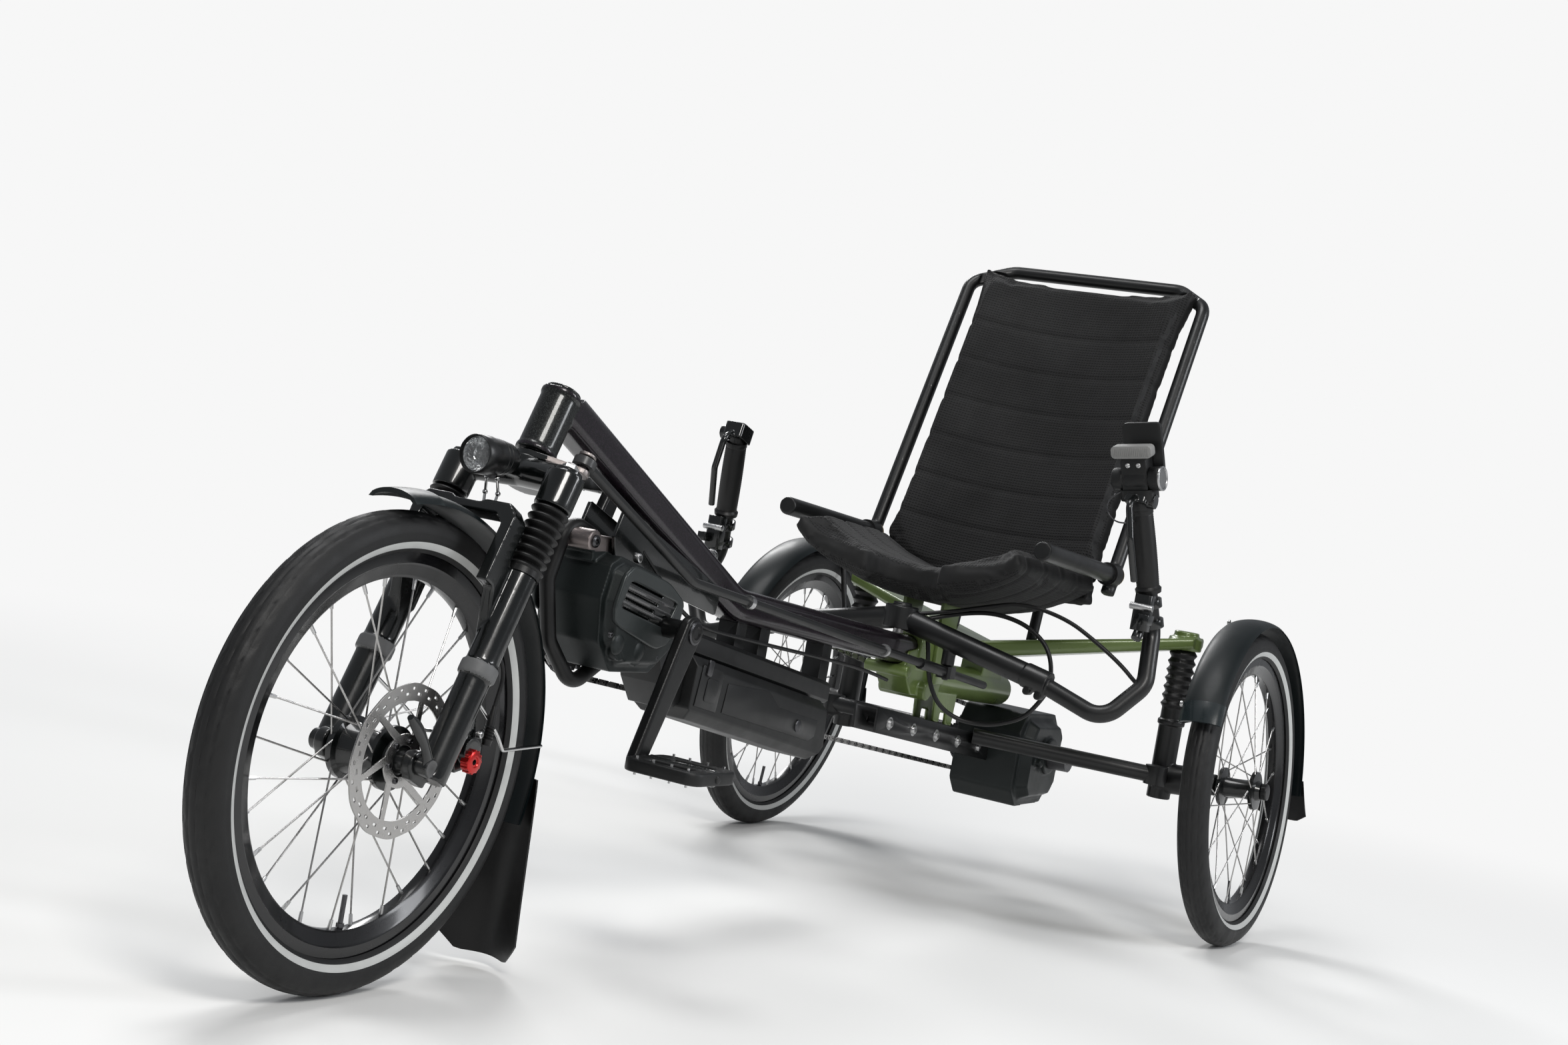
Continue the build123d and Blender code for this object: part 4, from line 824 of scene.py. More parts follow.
def bellows_profile(length, folds, low, high):
    """A folded sleeve's outline, closed at both ends."""
    steps = folds * FOLD_STEPS
    profile = [(0.0, 0.0), (0.0, low)]
    for i in range(steps + 1):
        wave = (1 - cos(2 * pi * i / FOLD_STEPS)) / 2
        profile.append((length * i / steps, low + (high - low) * wave ** 0.8))
    return profile + [(length, low), (length, 0.0)]


def leg_band(centre):
    """Picks the grey clip round each lower leg."""
    at = FROM_FORK @ centre
    return 1 if BAND_LOW < at.z < BAND_HIGH and hypot(abs(at.x) - LEG_X, at.y) > 0.0188 else 0


def make_fork():
    cast("fork_crown", [GLOSS], "fork", "frame_black", voxel=0.0012, soften=7, keep=0.34)
    cast("fork_lowers", [GLOSS, GREY_BAND], "fork", "frame_black", soften=10, keep=0.32, pick=leg_band)
    bellows = Heap()
    trim = Heap()
    for side in (-1, 1):
        place = FORK @ stand((side * LEG_X, 0, LOWER_TOP))
        sleeve = bellows_profile(SLEEVE_BASE - LOWER_TOP, 8, 0.0155, 0.0213)
        bellows.turned(sleeve, place, 56)
        bellows.lathe([(-0.004, 0.0179), (-0.004, 0.0194), (0.003, 0.0194), (0.003, 0.016)], place, 56)
        trim.bolt(FORK @ Vector((side * LEG_X, 0.0198, 0.1155)), BACK_HEAD, 0.0032, 0.004, kind=1)
        cap = FORK @ stand((side * LEG_X, 0, SLEEVE_TOP))
        trim.turned([(0, 0.0155), (0.0052, 0.0155), (0.0062, 0.014), (0.0062, 0.0)], cap)
        nut = FORK @ stand((side * LEG_X, 0, SLEEVE_TOP + 0.006))
        trim.turned([(0, 0.0095), (0.0055, 0.0095), (0.0065, 0.0085), (0.0065, 0.0)], nut, 6, kind=1)
        trim.turned([(0.0055, 0.0062), (0.0082, 0.0058), (0.009, 0.0045), (0.009, 0.0)], nut, 24, kind=1)
    bellows.made("fork_bellows_soft", [RUBBER], "fork", "black_rubber", "fork_bellows")
    trim.made("fork_trim", [GLOSS, ALLOY], "fork", "frame_black")
    cast("front_caliper", [GLOSS], "fork", "frame_black", voxel=0.0008, past=0.0722)
    cast("steering_arm", [GLOSS, BRONZE], "fork", "silver", voxel=0.0008, soften=3, keep=0.36,
         pick=lambda centre: 1 if centre.x > PLATE_X else 0)
    make_caliper_trim()
    make_front_axle()
    fender = Heap()
    centre = Matrix.Translation(AXLE_AT)
    make_band(fender, 0.029, FENDER_TAIL, FENDER_NOSE, centre)
    make_band(fender, 0.029, FENDER_NOSE - 9.5, FENDER_NOSE + 0.6, centre, grow=0.0022)
    fender.made("front_fender_shell", [FENDER], "fork", "black_plastic")
    make_fender_stays()
    make_front_flap()
    make_lamp()


def make_front_axle():
    """The through axle with its nut, head and curved quick-release lever."""
    heap = Heap()
    place = stand(AXLE_AT, (1, 0, 0))
    heap.turned([(-0.074, 0.0), (-0.074, 0.0095), (-0.0725, 0.011), (-0.0645, 0.011), (-0.064, 0.0058),
                 (0.064, 0.0058), (0.064, 0.01), (0.0785, 0.01), (0.08, 0.0085), (0.08, 0.0)],
                place, 40)
    root = Vector((0.075, 0.0, 0.0))
    knee = Vector((0.0765, -0.012, 0.03))
    tip = Vector((0.076, -0.044, 0.052))
    widths = [0.0095, 0.0078, 0.0064, 0.0058, 0.0058, 0.0062, 0.0067, 0.007, 0.0068, 0.0058, 0.0032]
    points = []
    for i, half in enumerate(widths):
        t = i / (len(widths) - 1)
        at = root * (1 - t) ** 2 + knee * 2 * t * (1 - t) + tip * t ** 2
        way = ((knee - root) * (1 - t) + (tip - knee) * t).normalized()
        across = way.cross(Vector((1, 0, 0)))
        for k in range(LEVER_SIDES):
            wide, thick = on_circle(1.0, 2 * pi * k / LEVER_SIDES)
            points.append(AXLE_AT + at + across * half * wide + Vector((0.0036 * thick, 0, 0)))
    ends = [tuple(range(LEVER_SIDES)), tuple(range(len(points) - LEVER_SIDES, len(points)))]
    heap.add(points, ends + strips(len(widths), LEVER_SIDES))
    heap.made("front_axle_lever", [GLOSS], "fork", "frame_black", "front_axle")


def make_caliper_trim():
    """The red pad adjuster, body screws, and the brake hose with its boot."""
    low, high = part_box("front_caliper")
    mid = (low + high) / 2
    place = stand(Vector((high.x - 0.0105, mid.y - 0.001, mid.z - 0.0107)), (1, 0, 0))
    heap = Heap()
    heap.turned([(0.0, 0.01), (0.0, 0.0118), (0.009, 0.0118), (0.01, 0.0104), (0.01, 0.0058),
                 (0.0088, 0.005)], place, 40)
    heap.turned([(0.0088, 0.005), (0.0088, 0.003)], place, 24)
    heap.turned([(0.0088, 0.003), (0.005, 0.003), (0.005, 0.0)], place, 6, kind=2)
    for i in range(12):
        at = place @ Vector((0.0005, *on_circle(0.0118, 2 * pi * i / 12)))
        heap.pin(at, at + Vector((0.0082, 0, 0)), 0.0013, sides=8)
    for dy, dz in ((-0.014, 0.015), (0.013, 0.016), (0.014, -0.016)):
        heap.bolt((high.x - 0.012, mid.y + dy, mid.z + dz), (1, 0, 0), 0.004, 0.004, kind=1)
    heap.made("caliper_knob", [RED, ALLOY, DARK_STEEL], "fork", "frame_black")
    boot = Heap()
    foot = Vector((0.068, -0.744, 0.274))
    head = Vector((0.066, -0.737, 0.313))
    tall = (head - foot).length
    ribs = [(-0.004, 0.0), (-0.004, 0.0052), (0.0, 0.0056)]
    for i in range(5):
        ribs += [(0.002 + 0.0032 * i, 0.0062), (0.0036 + 0.0032 * i, 0.0048)]
    ribs += [(0.02, 0.005), (tall - 0.002, 0.003), (tall, 0.0)]
    boot.turned(ribs, stand(foot, head - foot), 24)
    boot.made("hose_boot", [RUBBER], "fork", "black_rubber")
    along_leg = ((0.062, 0.0235, 0.15), (0.062, 0.0235, 0.19), (0.062, 0.0235, 0.225), (0.052, 0.0235, 0.26),
                 (0.052, 0.0235, 0.3), (0.05, 0.029, 0.34), (0.045, 0.033, 0.366))
    route = [head.lerp(foot, 0.1), head, Vector((0.066, -0.729, 0.345))]
    route += [FORK @ Vector(at) for at in along_leg]
    cable("brake_hose", route, 0.0026, RUBBER, "fork", "black_rubber")


def make_fender_stays():
    """Bright wire stays from the legs to the fender's foot."""
    for side, word, nodes in ((-1, "right", ()), (1, "left", ("front_fender",))):
        start = FORK @ Vector((side * LEG_X, 0.0145, 0.092))
        low = Vector((side * (LEG_X - 0.014), AXLE_AT.y + 0.152, AXLE_AT.z + 0.0105))
        edge = Vector((side * 0.0275, AXLE_AT.y + 0.2605, AXLE_AT.z + 0.008))
        mid = (start + low) / 2 + Vector((0, 0.012, -0.004))
        end = edge + (edge - low) * 0.02
        route = [start, mid, low.lerp(mid, 0.08), low, low.lerp(end, 0.08), (low + end) / 2, end]
        cable("fender_stay_" + word, route, 0.0021, CHROME, "fork", "steel", *nodes)


def make_lamp():
    """A round lamp with a faceted bowl behind clear glass, hung on two wire links."""
    low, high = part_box("headlamp")
    radius = (high.x - low.x) / 2 - 0.0003
    tail = Vector((0, high.y, high.z - radius))
    length = high.y - low.y
    place = stand(tail, (0, -1, 0))
    lip = length - 0.0015
    mouth = radius - 0.0026
    foot = tail + Vector((0, -0.03, -radius))
    shell = [(0, 0), (0.0008, 0.0095), (0.004, 0.0145), (0.011, 0.0172), (0.0215, 0.0185), (0.022, 0.0178),
             (0.0232, 0.0178), (0.0237, 0.019), (0.029, 0.0194), (0.0295, 0.0187), (0.0307, 0.0187),
             (0.0312, 0.0198), (0.046, 0.0203), (0.0475, radius), (lip, radius), (length, radius - 0.0009),
             (length, radius - 0.0018), (lip - 0.0015, radius - 0.0024), (lip - 0.004, mouth)]
    heap = Heap()
    heap.turned(shell, place, 72)
    stub = stand(foot - Vector((0, 0, 0.002)))
    heap.turned([(0, 0), (0, 0.006), (0.004, 0.006), (0.004, 0)], stub, 24)
    heap.made("lamp_shell", [SATIN], "fork", "black_plastic", "headlamp")
    make_lamp_bowl(place, lip, mouth)
    glass = Heap()
    dome = [(lip - 0.003, mouth + 0.0002)]
    for k in range(1, 9):
        share = 1 - k / 8
        dome.append((lip - 0.003 + 0.0026 * (1 - share ** 2), mouth * share))
    glass.turned(dome, place)
    glass.made("lamp_lens", [GLASS], "fork", "silver")
    wires = Heap()
    turns = [radians(30 * k) for k in range(7)]
    ball = [(-0.003 * cos(turn), 0.003 * sin(turn)) for turn in turns]
    for side in (-1, 1):
        links = [foot + Vector((side * 0.007, 0, -0.001)), Vector((side * 0.0085, foot.y + 0.004, 0)),
                 Vector((side * 0.0065, foot.y + 0.002, low.z))]
        links[1].z = (links[0].z + low.z) / 2
        for at in links:
            wires.turned(ball, stand(at), 16)
        for start, end in zip(links, links[1:]):
            wires.pin(start, end, 0.0016, sides=12)
    wires.made("lamp_links", [CHROME], "fork", "steel")


def make_lamp_bowl(place, lip, mouth):
    """The faceted mirror and the small lamp in its middle."""
    steps = 20
    count = 6
    points = []
    for i in range(steps):
        for k in range(count):
            share = (k + 1) / count
            turn = 2 * pi * (i + 0.5 * (k % 2)) / steps
            x = lip - 0.004 - 0.015 * (1 - share ** 2)
            points.append(place @ Vector((x, *on_circle(mouth * share, turn))))
    faces = []
    for one, here, there, two in strips(steps, count, closed=False, wrap=True):
        faces += [(one, here, two), (two, here, there)]
    bowl = Heap()
    bowl.add(points, faces)
    bulb = [(lip - 0.019, 0.004), (lip - 0.01, 0.0034), (lip - 0.008, 0.0)]
    bowl.turned(bulb, place, 16, kind=1)
    bowl.made("lamp_reflector", [MIRROR, RIBBED], "fork", "silver", smooth=False)


# Frame, motor and battery

HEAD_OFFSET = 0.022
HEAD_RADIUS = 0.0225


def near_head(centre):
    """Picks the plain flake on the head tube and the tinted one on the boom."""
    at = FROM_FORK @ centre
    return 1 if hypot(at.x, at.y - HEAD_OFFSET) < HEAD_RADIUS + 0.0012 else 0


def within(outline, y, z):
    """Whether a point lies inside a closed outline."""
    inside = False
    for (ay, az), (by, bz) in zip(outline, outline[1:] + outline[:1]):
        if (az > z) != (bz > z) and y < ay + (by - ay) * (z - az) / (bz - az):
            inside = not inside
    return inside


CLAMP_ABOVE = 0.4815
CLAMP_AHEAD = -0.493
WINDOW_X = 0.05
WINDOW = [(-0.505, 0.4575), (-0.3915, 0.4345), (-0.412, 0.3995), (-0.5205, 0.422)]
WINDOW_FRAME = [(-0.5265, 0.4235), (-0.516, 0.46), (-0.5005, 0.4705), (-0.421, 0.455), (-0.3815, 0.4335),
                (-0.387, 0.404), (-0.406, 0.384), (-0.429, 0.3785), (-0.5215, 0.405)]


def motor_face(centre):
    """Picks gloss black inside the louvre windows as painted shade in their recessed slots, and warm alloy on
    the clamp at the front top.
    """
    if centre.z > CLAMP_ABOVE and centre.y < CLAMP_AHEAD:
        return 2
    # faces inside a louvre window get gloss black: painted shade in the recessed slots between the blades
    return 1 if abs(centre.x) > WINDOW_X and within(WINDOW, centre.y, centre.z) else 0


def eased(outline, share=0.16):
    """The outline with each corner turned into a short curve."""
    points = []
    count = len(outline)
    for i in range(count):
        here = Vector(outline[i])
        before = here.lerp(Vector(outline[i - 1]), share)
        after = here.lerp(Vector(outline[(i + 1) % count]), share)
        for k in range(5):
            t = k / 4
            at = before * (1 - t) ** 2 + here * 2 * t * (1 - t) + after * t ** 2
            points.append((at.x, at.y))
    return points


def make_frame_bolts():
    """Screws along the boom, the motor bracket and the drive channel."""
    heap = Heap()
    first = Vector((0.0242, -0.4729, 0.509))
    last = Vector((0.0242, -0.325, 0.4465))
    for i in range(7):
        heap.bolt(first.lerp(last, i / 6), (1, 0, 0), 0.0026, 0.002)
    channel = [(0.3293 + 0.0876 * i, 0.2759 - 0.0102 * i) for i in range(5)]
    for side in (-1, 1):
        for y, z in ((-0.4515, 0.479), (-0.3805, 0.449)):
            heap.bolt((side * 0.027, y, z), (side, 0, 0), 0.0062, 0.005)
        for y, z in channel:
            heap.bolt((side * 0.0198, y, z), (side, 0, 0), 0.0068, 0.0048)
            place = stand((side * 0.0196, y, z), (side, 0, 0))
            heap.ring(place, 0.004, 0.0098, 0.0012, 32)
    heap.made("frame_bolts", [ALLOY], "frame", "steel")


def make_motor_trim():
    """Raised frame round each louvre window, its blades, two bosses and the cover's screws."""
    for side, word in ((1, "left"), (-1, "right")):
        lay = Matrix(((0, 0, side), (1, 0, 0), (0, 1, 0))).to_4x4()
        place = Matrix.Translation((side * 0.0562, 0, 0)) @ lay
        outlines = [eased(WINDOW_FRAME, 0.22), eased(WINDOW, 0.14)]
        curve_plate("motor_window_" + word, outlines, 0.0062, place, PANEL, "frame", "frame_black",
                    bevel=0.002)
        heap = Heap()
        corners = [Vector((side * 0.0556, y, z)) for y, z in WINDOW]
        for t in (0.26, 0.5, 0.74):
            start = corners[0].lerp(corners[3], t)
            end = corners[1].lerp(corners[2], t)
            heap.pin(start.lerp(end, -0.02), start.lerp(end, 1.02), 0.0024, kind=2, sides=4)
        dome = [(0.005 * sin(radians(15 * k)), 0.013 * cos(radians(15 * k))) for k in range(7)]
        for y, z in ((-0.5045, 0.381), (-0.4585, 0.373)):
            heap.turned(dome, stand((side * 0.0535, y, z), (side, 0, 0)), 32)
        for y, z in ((-0.522, 0.391), (-0.4165, 0.3665), (-0.3795, 0.392)):
            heap.bolt((side * 0.0535, y, z), (side, 0, 0), 0.0035, 0.0026, kind=1)
        heap.bolt((side * 0.0198, -0.5345, 0.492), (side, 0, 0), 0.0075, 0.0035, kind=1)
        heap.made("motor_ribs_" + word, [MOTOR, DARK_STEEL, GLOSS], "frame", "frame_black")


BATTERY_FALL = 8.9
BATTERY_HEIGHT = 0.082
STRUT_FOOT = 0.352
FRONT_PITCH_RADIUS = 0.0797
REAR_PITCH_RADIUS = 0.0545
LINK_RADIUS = 0.0036
LINK_WALL = 0.0007


def make_battery_trim():
    """Side panels, end cap, lock and latch of the battery case."""
    low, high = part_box("battery")
    fall = radians(BATTERY_FALL)
    head = Vector((0, low.y + BATTERY_HEIGHT * sin(fall), high.z))
    along = Vector((0, cos(fall), -sin(fall)))
    down = Vector((0, -sin(fall), -cos(fall)))
    panel = [(0.078, 0.022), (0.19, 0.014), (0.226, 0.03), (0.345, 0.03), (0.345, 0.052), (0.33, 0.06),
             (0.078, 0.06)]
    cap = [(0.006, 0.01), (0.056, 0.01), (0.062, 0.018), (0.062, 0.062), (0.006, 0.062)]
    heap = Heap()
    for side in (-1, 1):
        place = Matrix.Translation(head + Vector((side * (high.x - 0.0006), 0, 0)))
        place = place @ Matrix((along, down, Vector((side, 0, 0)))).transposed().to_4x4()
        heap.slab(panel, 0.0, 0.0018, place)
        heap.slab(cap, 0.0, 0.0022, place)
        heap.slab(rounded_box(0.03, 0.03, 0.005, (0.038, 0.038)), 0.0018, 0.0034, place)
        heap.slab(rounded_box(0.012, 0.02, 0.003, (0.02, 0.012)), 0.0018, 0.0052, place, kind=1)
        turn = place @ Matrix.Translation((0.29, 0.045, 0.0014)) @ Matrix.Rotation(radians(-90), 4, "Y")
        heap.turned([(0, 0.0), (0, 0.0085), (0.0016, 0.0085), (0.0024, 0.007), (0.0024, 0.0)], turn, 32,
                    kind=1)
    heap.made("battery_panels", [SATIN, DARK_STEEL], "frame", "black_plastic", ease=0.0007)


def make_frame():
    cast("boom", [FLAKE, HEAD_FLAKE], "frame", "frame_black", voxel=0.0016, soften=5, keep=0.27,
         pick=near_head)
    # the motor's GLOSS faces inside the louvre windows are painted shade in the recessed slots
    cast("motor", [MOTOR, GLOSS, CLAMP], "frame", "frame_black", voxel=0.0012, soften=3, keep=0.3,
         pick=motor_face)
    cast("rear_frame", [GREEN], "frame", "frame_green", voxel=0.0014, keep=0.28)
    cast("cross_beam", [GREEN], "frame", "frame_green", voxel=0.002, keep=0.28)
    cast("drive_housing", [MOTOR], "frame", "frame_black", voxel=0.0018, soften=3, keep=0.28)
    cast("struts", [SATIN, RUBBER], "frame", "frame_black", voxel=0.0014, soften=3, keep=0.29,
         pick=lambda centre: 1 if centre.z > STRUT_FOOT else 0)
    rounded("motor_bracket", GLOSS, "frame", "frame_black", width=0.0012)
    rounded("battery", PLASTIC, "frame", "black_plastic", width=0.004)
    rounded("battery_rail", SATIN, "frame", "black_plastic")
    rounded("drive_channel", SATIN, "frame", "frame_black", width=0.001)
    rounded("lower_arms", SATIN, "frame", "frame_black", width=0.001)
    for node, mat in (("motor_conduit", RUBBER), ("cassette", DARK_STEEL), ("drive_shafts", DARK_STEEL),
                      ("bar_pivot", STEEL)):
        dress(node, mat)
    make_frame_bolts()
    make_motor_trim()
    make_battery_trim()
    route = [(0.0255, -0.44, 0.487), (0.0262, -0.4, 0.462), (0.0262, -0.34, 0.424),
             (0.0262, -0.28, 0.402), (0.0262, -0.18, 0.392), (0.0262, -0.06, 0.381),
             (0.0262, 0.08, 0.369), (0.0262, 0.2, 0.357), (0.024, 0.285, 0.342)]
    cable("boom_cable", route, 0.0027, RUBBER, "frame", "black_rubber")
    fenders = Heap()
    flaps = Heap()
    for side in (-1, 1):
        wheel = wheel_place(side)
        make_band(fenders, 0.032, -4, 156, wheel)
        make_band(fenders, 0.032, 149, 156.4, wheel, grow=0.0012, kind=1)
        inward = wheel.to_3x3() @ Vector((-1, 0, 0))
        for turn in (96.0, 150.0):
            at = wheel @ Vector((-0.033, *on_circle(0.262, radians(turn))))
            fenders.bolt(at + inward * 0.001, inward, 0.0045, 0.0032, kind=2)
        make_flap(flaps, wheel, (0.2725, 0.008), (0.285, -0.061), 0.033, 0.0415, 0.009, 0.016, 0.01)
    fenders.made("rear_fender_shells", [FENDER, FENDER_EDGE, ALLOY], "frame", "black_plastic", "rear_fenders")
    flaps.made("rear_flaps", [RUBBER], "frame", "black_rubber")
    make_chain()


def chain_path():
    """Points a pitch apart round the two sprockets."""
    front = node_centre("chainring").yz
    rear = node_centre("cassette").yz
    way = rear - front
    lie = atan2(way.y, way.x)
    gain = FRONT_PITCH_RADIUS - REAR_PITCH_RADIUS
    lean = asin(gain / way.length)
    straight = (way.length ** 2 - gain ** 2) ** 0.5
    over = lie + pi / 2 - lean
    under = lie - pi / 2 + lean
    wrap_rear = (pi - 2 * lean) * REAR_PITCH_RADIUS
    total = 2 * straight + wrap_rear + (pi + 2 * lean) * FRONT_PITCH_RADIUS
    count = 2 * round(total / CHAIN_PITCH / 2)

    def at_front(turn):
        return front + Vector(on_circle(FRONT_PITCH_RADIUS, turn))

    def at_rear(turn):
        return rear + Vector(on_circle(REAR_PITCH_RADIUS, turn))

    points = []
    for i in range(count):
        s = i * total / count
        if s < straight:
            points.append(at_front(over).lerp(at_rear(over), s / straight))
        elif s < straight + wrap_rear:
            points.append(at_rear(over - (s - straight) / REAR_PITCH_RADIUS))
        elif s < 2 * straight + wrap_rear:
            points.append(at_rear(under).lerp(at_front(under), (s - straight - wrap_rear) / straight))
        else:
            points.append(at_front(under - (s - 2 * straight - wrap_rear) / FRONT_PITCH_RADIUS))
    return points


def make_chain():
    """Link plates, pins and rollers; every second link is the wide one."""
    x = node_centre("chain").x
    points = chain_path()
    heap = Heap()
    for i, (here, there) in enumerate(zip(points, points[1:] + points[:1])):
        wide = i % 2
        inner = 0.0018 if wide else 0.001
        angle = atan2(there.y - here.y, there.x - here.x)
        length = (there - here).length
        outline = [on_circle(LINK_RADIUS, radians(90 + 45 * k)) for k in range(5)]
        for k in range(5):
            a, b = on_circle(LINK_RADIUS, radians(-90 + 45 * k))
            outline.append((length + a, b))
        turn = Matrix(((0, 0, 1), (cos(angle), -sin(angle), 0), (sin(angle), cos(angle), 0))).to_4x4()
        place = Matrix.Translation((x, here.x, here.y)) @ turn
        for low, high in ((-inner - LINK_WALL, -inner), (inner, inner + LINK_WALL)):
            heap.slab(outline, low, high, place, kind=wide)
        for half, radius, kind, sides in ((0.0025, 0.0015, 1, 6), (0.001, 0.0031, 0, 8)):
            heap.pin(place @ Vector((0, 0, -half)), place @ Vector((0, 0, half)), radius, kind, sides)
    heap.made("chain_links", [DARK_STEEL, STEEL], "frame", "steel", "chain", smooth=False)


# Cranks and pedals

def make_cranks():
    cast("cranks", [CRANK], "crankset", "frame_black", voxel=0.0012, soften=3, keep=0.34)
    dress("chainring", DARK_STEEL)
    caps = Heap()
    radius = 0.0115
    edge = [(0, radius + 0.0025), (0.0022, radius + 0.0025), (0.003, radius)]
    socket = [(0.003, radius), (0.0036, radius * 0.7), (0.002, radius * 0.55), (0.002, 0.0)]
    for side, word in ((-1, "right"), (1, "left")):
        make_pedal("pedal_" + word, side)
        place = stand((side * 0.0985, -0.4125, 0.404), (side, 0, 0))
        caps.turned(edge, place, 40)
        caps.turned(socket, place, 12, kind=1)
    caps.made("crank_caps", [DARK_STEEL, CRANK], "crankset", "steel")


def make_pedal(node, side):
    """A platform pedal: waisted frame with two windows, spindle barrel and grip pins."""
    low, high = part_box(node)
    mid = (low + high) / 2
    wide = high.x - low.x
    deep = high.y - low.y
    outlines = [rounded_box(wide, deep, 0.014)]
    for y in (-deep / 4, deep / 4):
        outlines.append(rounded_box(wide - 0.03, deep / 2 - 0.022, 0.007, (0.0, y)))
    lay = Matrix.Translation(mid)
    curve_plate(node + "_frame", outlines, 0.015, lay, PLASTIC, node, "black_plastic", node, bevel=0.0025)
    heap = Heap()
    barrel = stand((mid.x - side * wide / 2, mid.y, mid.z), (side, 0, 0))
    heap.turned([(0, 0.0), (0, 0.008), (0.006, 0.0086), (0.008, 0.0102), (0.04, 0.0092), (0.082, 0.01),
                 (wide - 0.002, 0.0094), (wide, 0.007), (wide, 0.0)], barrel, 40)
    for x in (-0.034, -0.012, 0.012, 0.034):
        for sy, sz in ((-1, -1), (-1, 1), (1, -1), (1, 1)):
            at = mid + Vector((x, sy * (deep / 2 - 0.0065), sz * 0.0068))
            heap.pin(at, at + Vector((0, 0, sz * 0.004)), 0.0017, kind=1, sides=6)
    heap.made(node + "_barrel", [GLOSS, ALLOY], node, "black_plastic")


# Bar, grips, levers and controls

def grip_ends(side):
    """The foot and the head of a grip."""
    return Vector((side * 0.356, 0.3935, 0.538)), Vector((side * 0.337, 0.3555, 0.652))


def make_bar():
    cast("handlebar", [SATIN], "handlebar", "frame_black", voxel=0.0013, soften=3, keep=0.25)
    cast("brake_levers", [GLOSS], "handlebar", "frame_black", voxel=0.001, soften=3, keep=0.34)
    dress("steering_rod", SATIN)
    grips = Heap()
    steps = 60
    for side in (-1, 1):
        foot, head = grip_ends(side)
        length = (head - foot).length
        profile = [(-0.002, 0.0132), (-0.002, 0.0182), (0.004, 0.019), (0.006, 0.0172)]
        for i in range(steps + 1):
            fullness = 0.0008 * sin(pi * i / steps)
            ridge = 0.0004 * (i % 2)
            profile.append((0.008 + (length - 0.016) * i / steps, 0.016 + fullness + ridge))
        profile += [(length - 0.006, 0.017), (length, 0.0166), (length, 0.0132)]
        grips.lathe(profile, stand(foot, head - foot), 40)
    grips.made("bar_grip_sleeves", [RUBBER], "handlebar", "black_rubber", "bar_grips")
    make_left_controls()
    make_lever_mounts()
    make_bar_hoses()
    make_rod_clips()


def make_rod_clips():
    """The bright clip and the collar on the steering rod."""
    heap = Heap()
    bend = Vector((0.062, -0.3745, 0.46))
    tail = Vector((0.088, 0.3455, 0.367))
    way = (tail - bend).normalized()
    for reach, wide, half in ((0.135, 0.009, 0.0045), (0.52, 0.0085, 0.003)):
        place = stand(bend + way * (reach - half), way)
        heap.ring(place, 0.005, wide, 2 * half, 32)
    heap.made("rod_clips", [ALLOY], "steering_rod", "silver")


def make_left_controls():
    """Display on its hooded mount, ribbed pad, two screws, cross barrel and round dial."""
    foot, head = grip_ends(1)
    rise = (head - foot).normalized()
    side = Vector((1, 0, 0))
    side = (side - rise * side.dot(rise)).normalized()
    back = rise.cross(side)
    place = Matrix.Translation(head) @ Matrix((side, back, rise)).transposed().to_4x4()
    flat = place @ Matrix.Rotation(radians(90), 4, "X")
    collar = place @ Matrix.Rotation(radians(-90), 4, "Y")
    barrel = place @ Matrix.Translation((-0.036, -0.002, 0.044))
    heap = Heap()
    heap.turned([(0.0, 0.0125), (0.0, 0.0178), (0.013, 0.0186), (0.017, 0.017), (0.017, 0.0)], collar)
    heap.turned([(0, 0), (0, 0.014), (0.002, 0.0158), (0.016, 0.016), (0.017, 0.015), (0.02, 0.015),
                 (0.021, 0.0165), (0.052, 0.0165), (0.053, 0.015), (0.056, 0.015), (0.057, 0.017),
                 (0.07, 0.0176), (0.0715, 0.016)], barrel, 56)
    heap.turned([(0.0715, 0.0176), (0.074, 0.0176), (0.0745, 0.015), (0.0725, 0.0145)], barrel, 56, kind=1)
    heap.turned([(0.0725, 0.0145), (0.0735, 0.012), (0.0735, 0.0)], barrel, 40, kind=2)
    heap.slab(rounded_box(0.05, 0.036, 0.01), 0.014, 0.03, place)
    heap.slab(rounded_box(0.038, 0.05, 0.006, (0.0, 0.052)), -0.012, 0.016, flat)
    heap.slab(rounded_box(0.058, 0.086, 0.008, (0.004, 0.078)), -0.0225, -0.015, flat)
    heap.slab(rounded_box(0.052, 0.078, 0.006, (0.004, 0.078)), -0.0232, -0.0224, flat, kind=3)
    for x in (-0.008, 0.008):
        heap.bolt(flat @ Vector((x, 0.066, 0.0158)), -back, 0.0036, 0.0022, kind=1)
    heap.made("left_controls", [PLASTIC, ALLOY, GREY_BAND, SCREEN], "handlebar", "black_plastic",
              "bar_controls", ease=0.0009)
    pad = Heap()
    pad.slab(rounded_box(0.06, 0.018, 0.006, (0.0, 0.086)), 0.004, 0.021, flat)
    for i in range(19):
        x = -0.0252 + 0.0028 * i
        pad.pin(flat @ Vector((x, 0.08, 0.0212)), flat @ Vector((x, 0.092, 0.0212)), 0.0007, sides=6)
    pad.made("left_ribbed_pad", [RIBBED], "handlebar", "black_plastic", ease=0.001)
    loop = ((-0.016, -0.012, 0.03), (-0.036, -0.014, 0.024), (-0.05, -0.01, 0.004),
            (-0.04, -0.014, -0.014), (-0.018, -0.02, -0.018), (-0.004, -0.019, -0.014))
    cable("control_loop", [place @ Vector(at) for at in loop], 0.0012, DARK_STEEL, "handlebar", "steel")


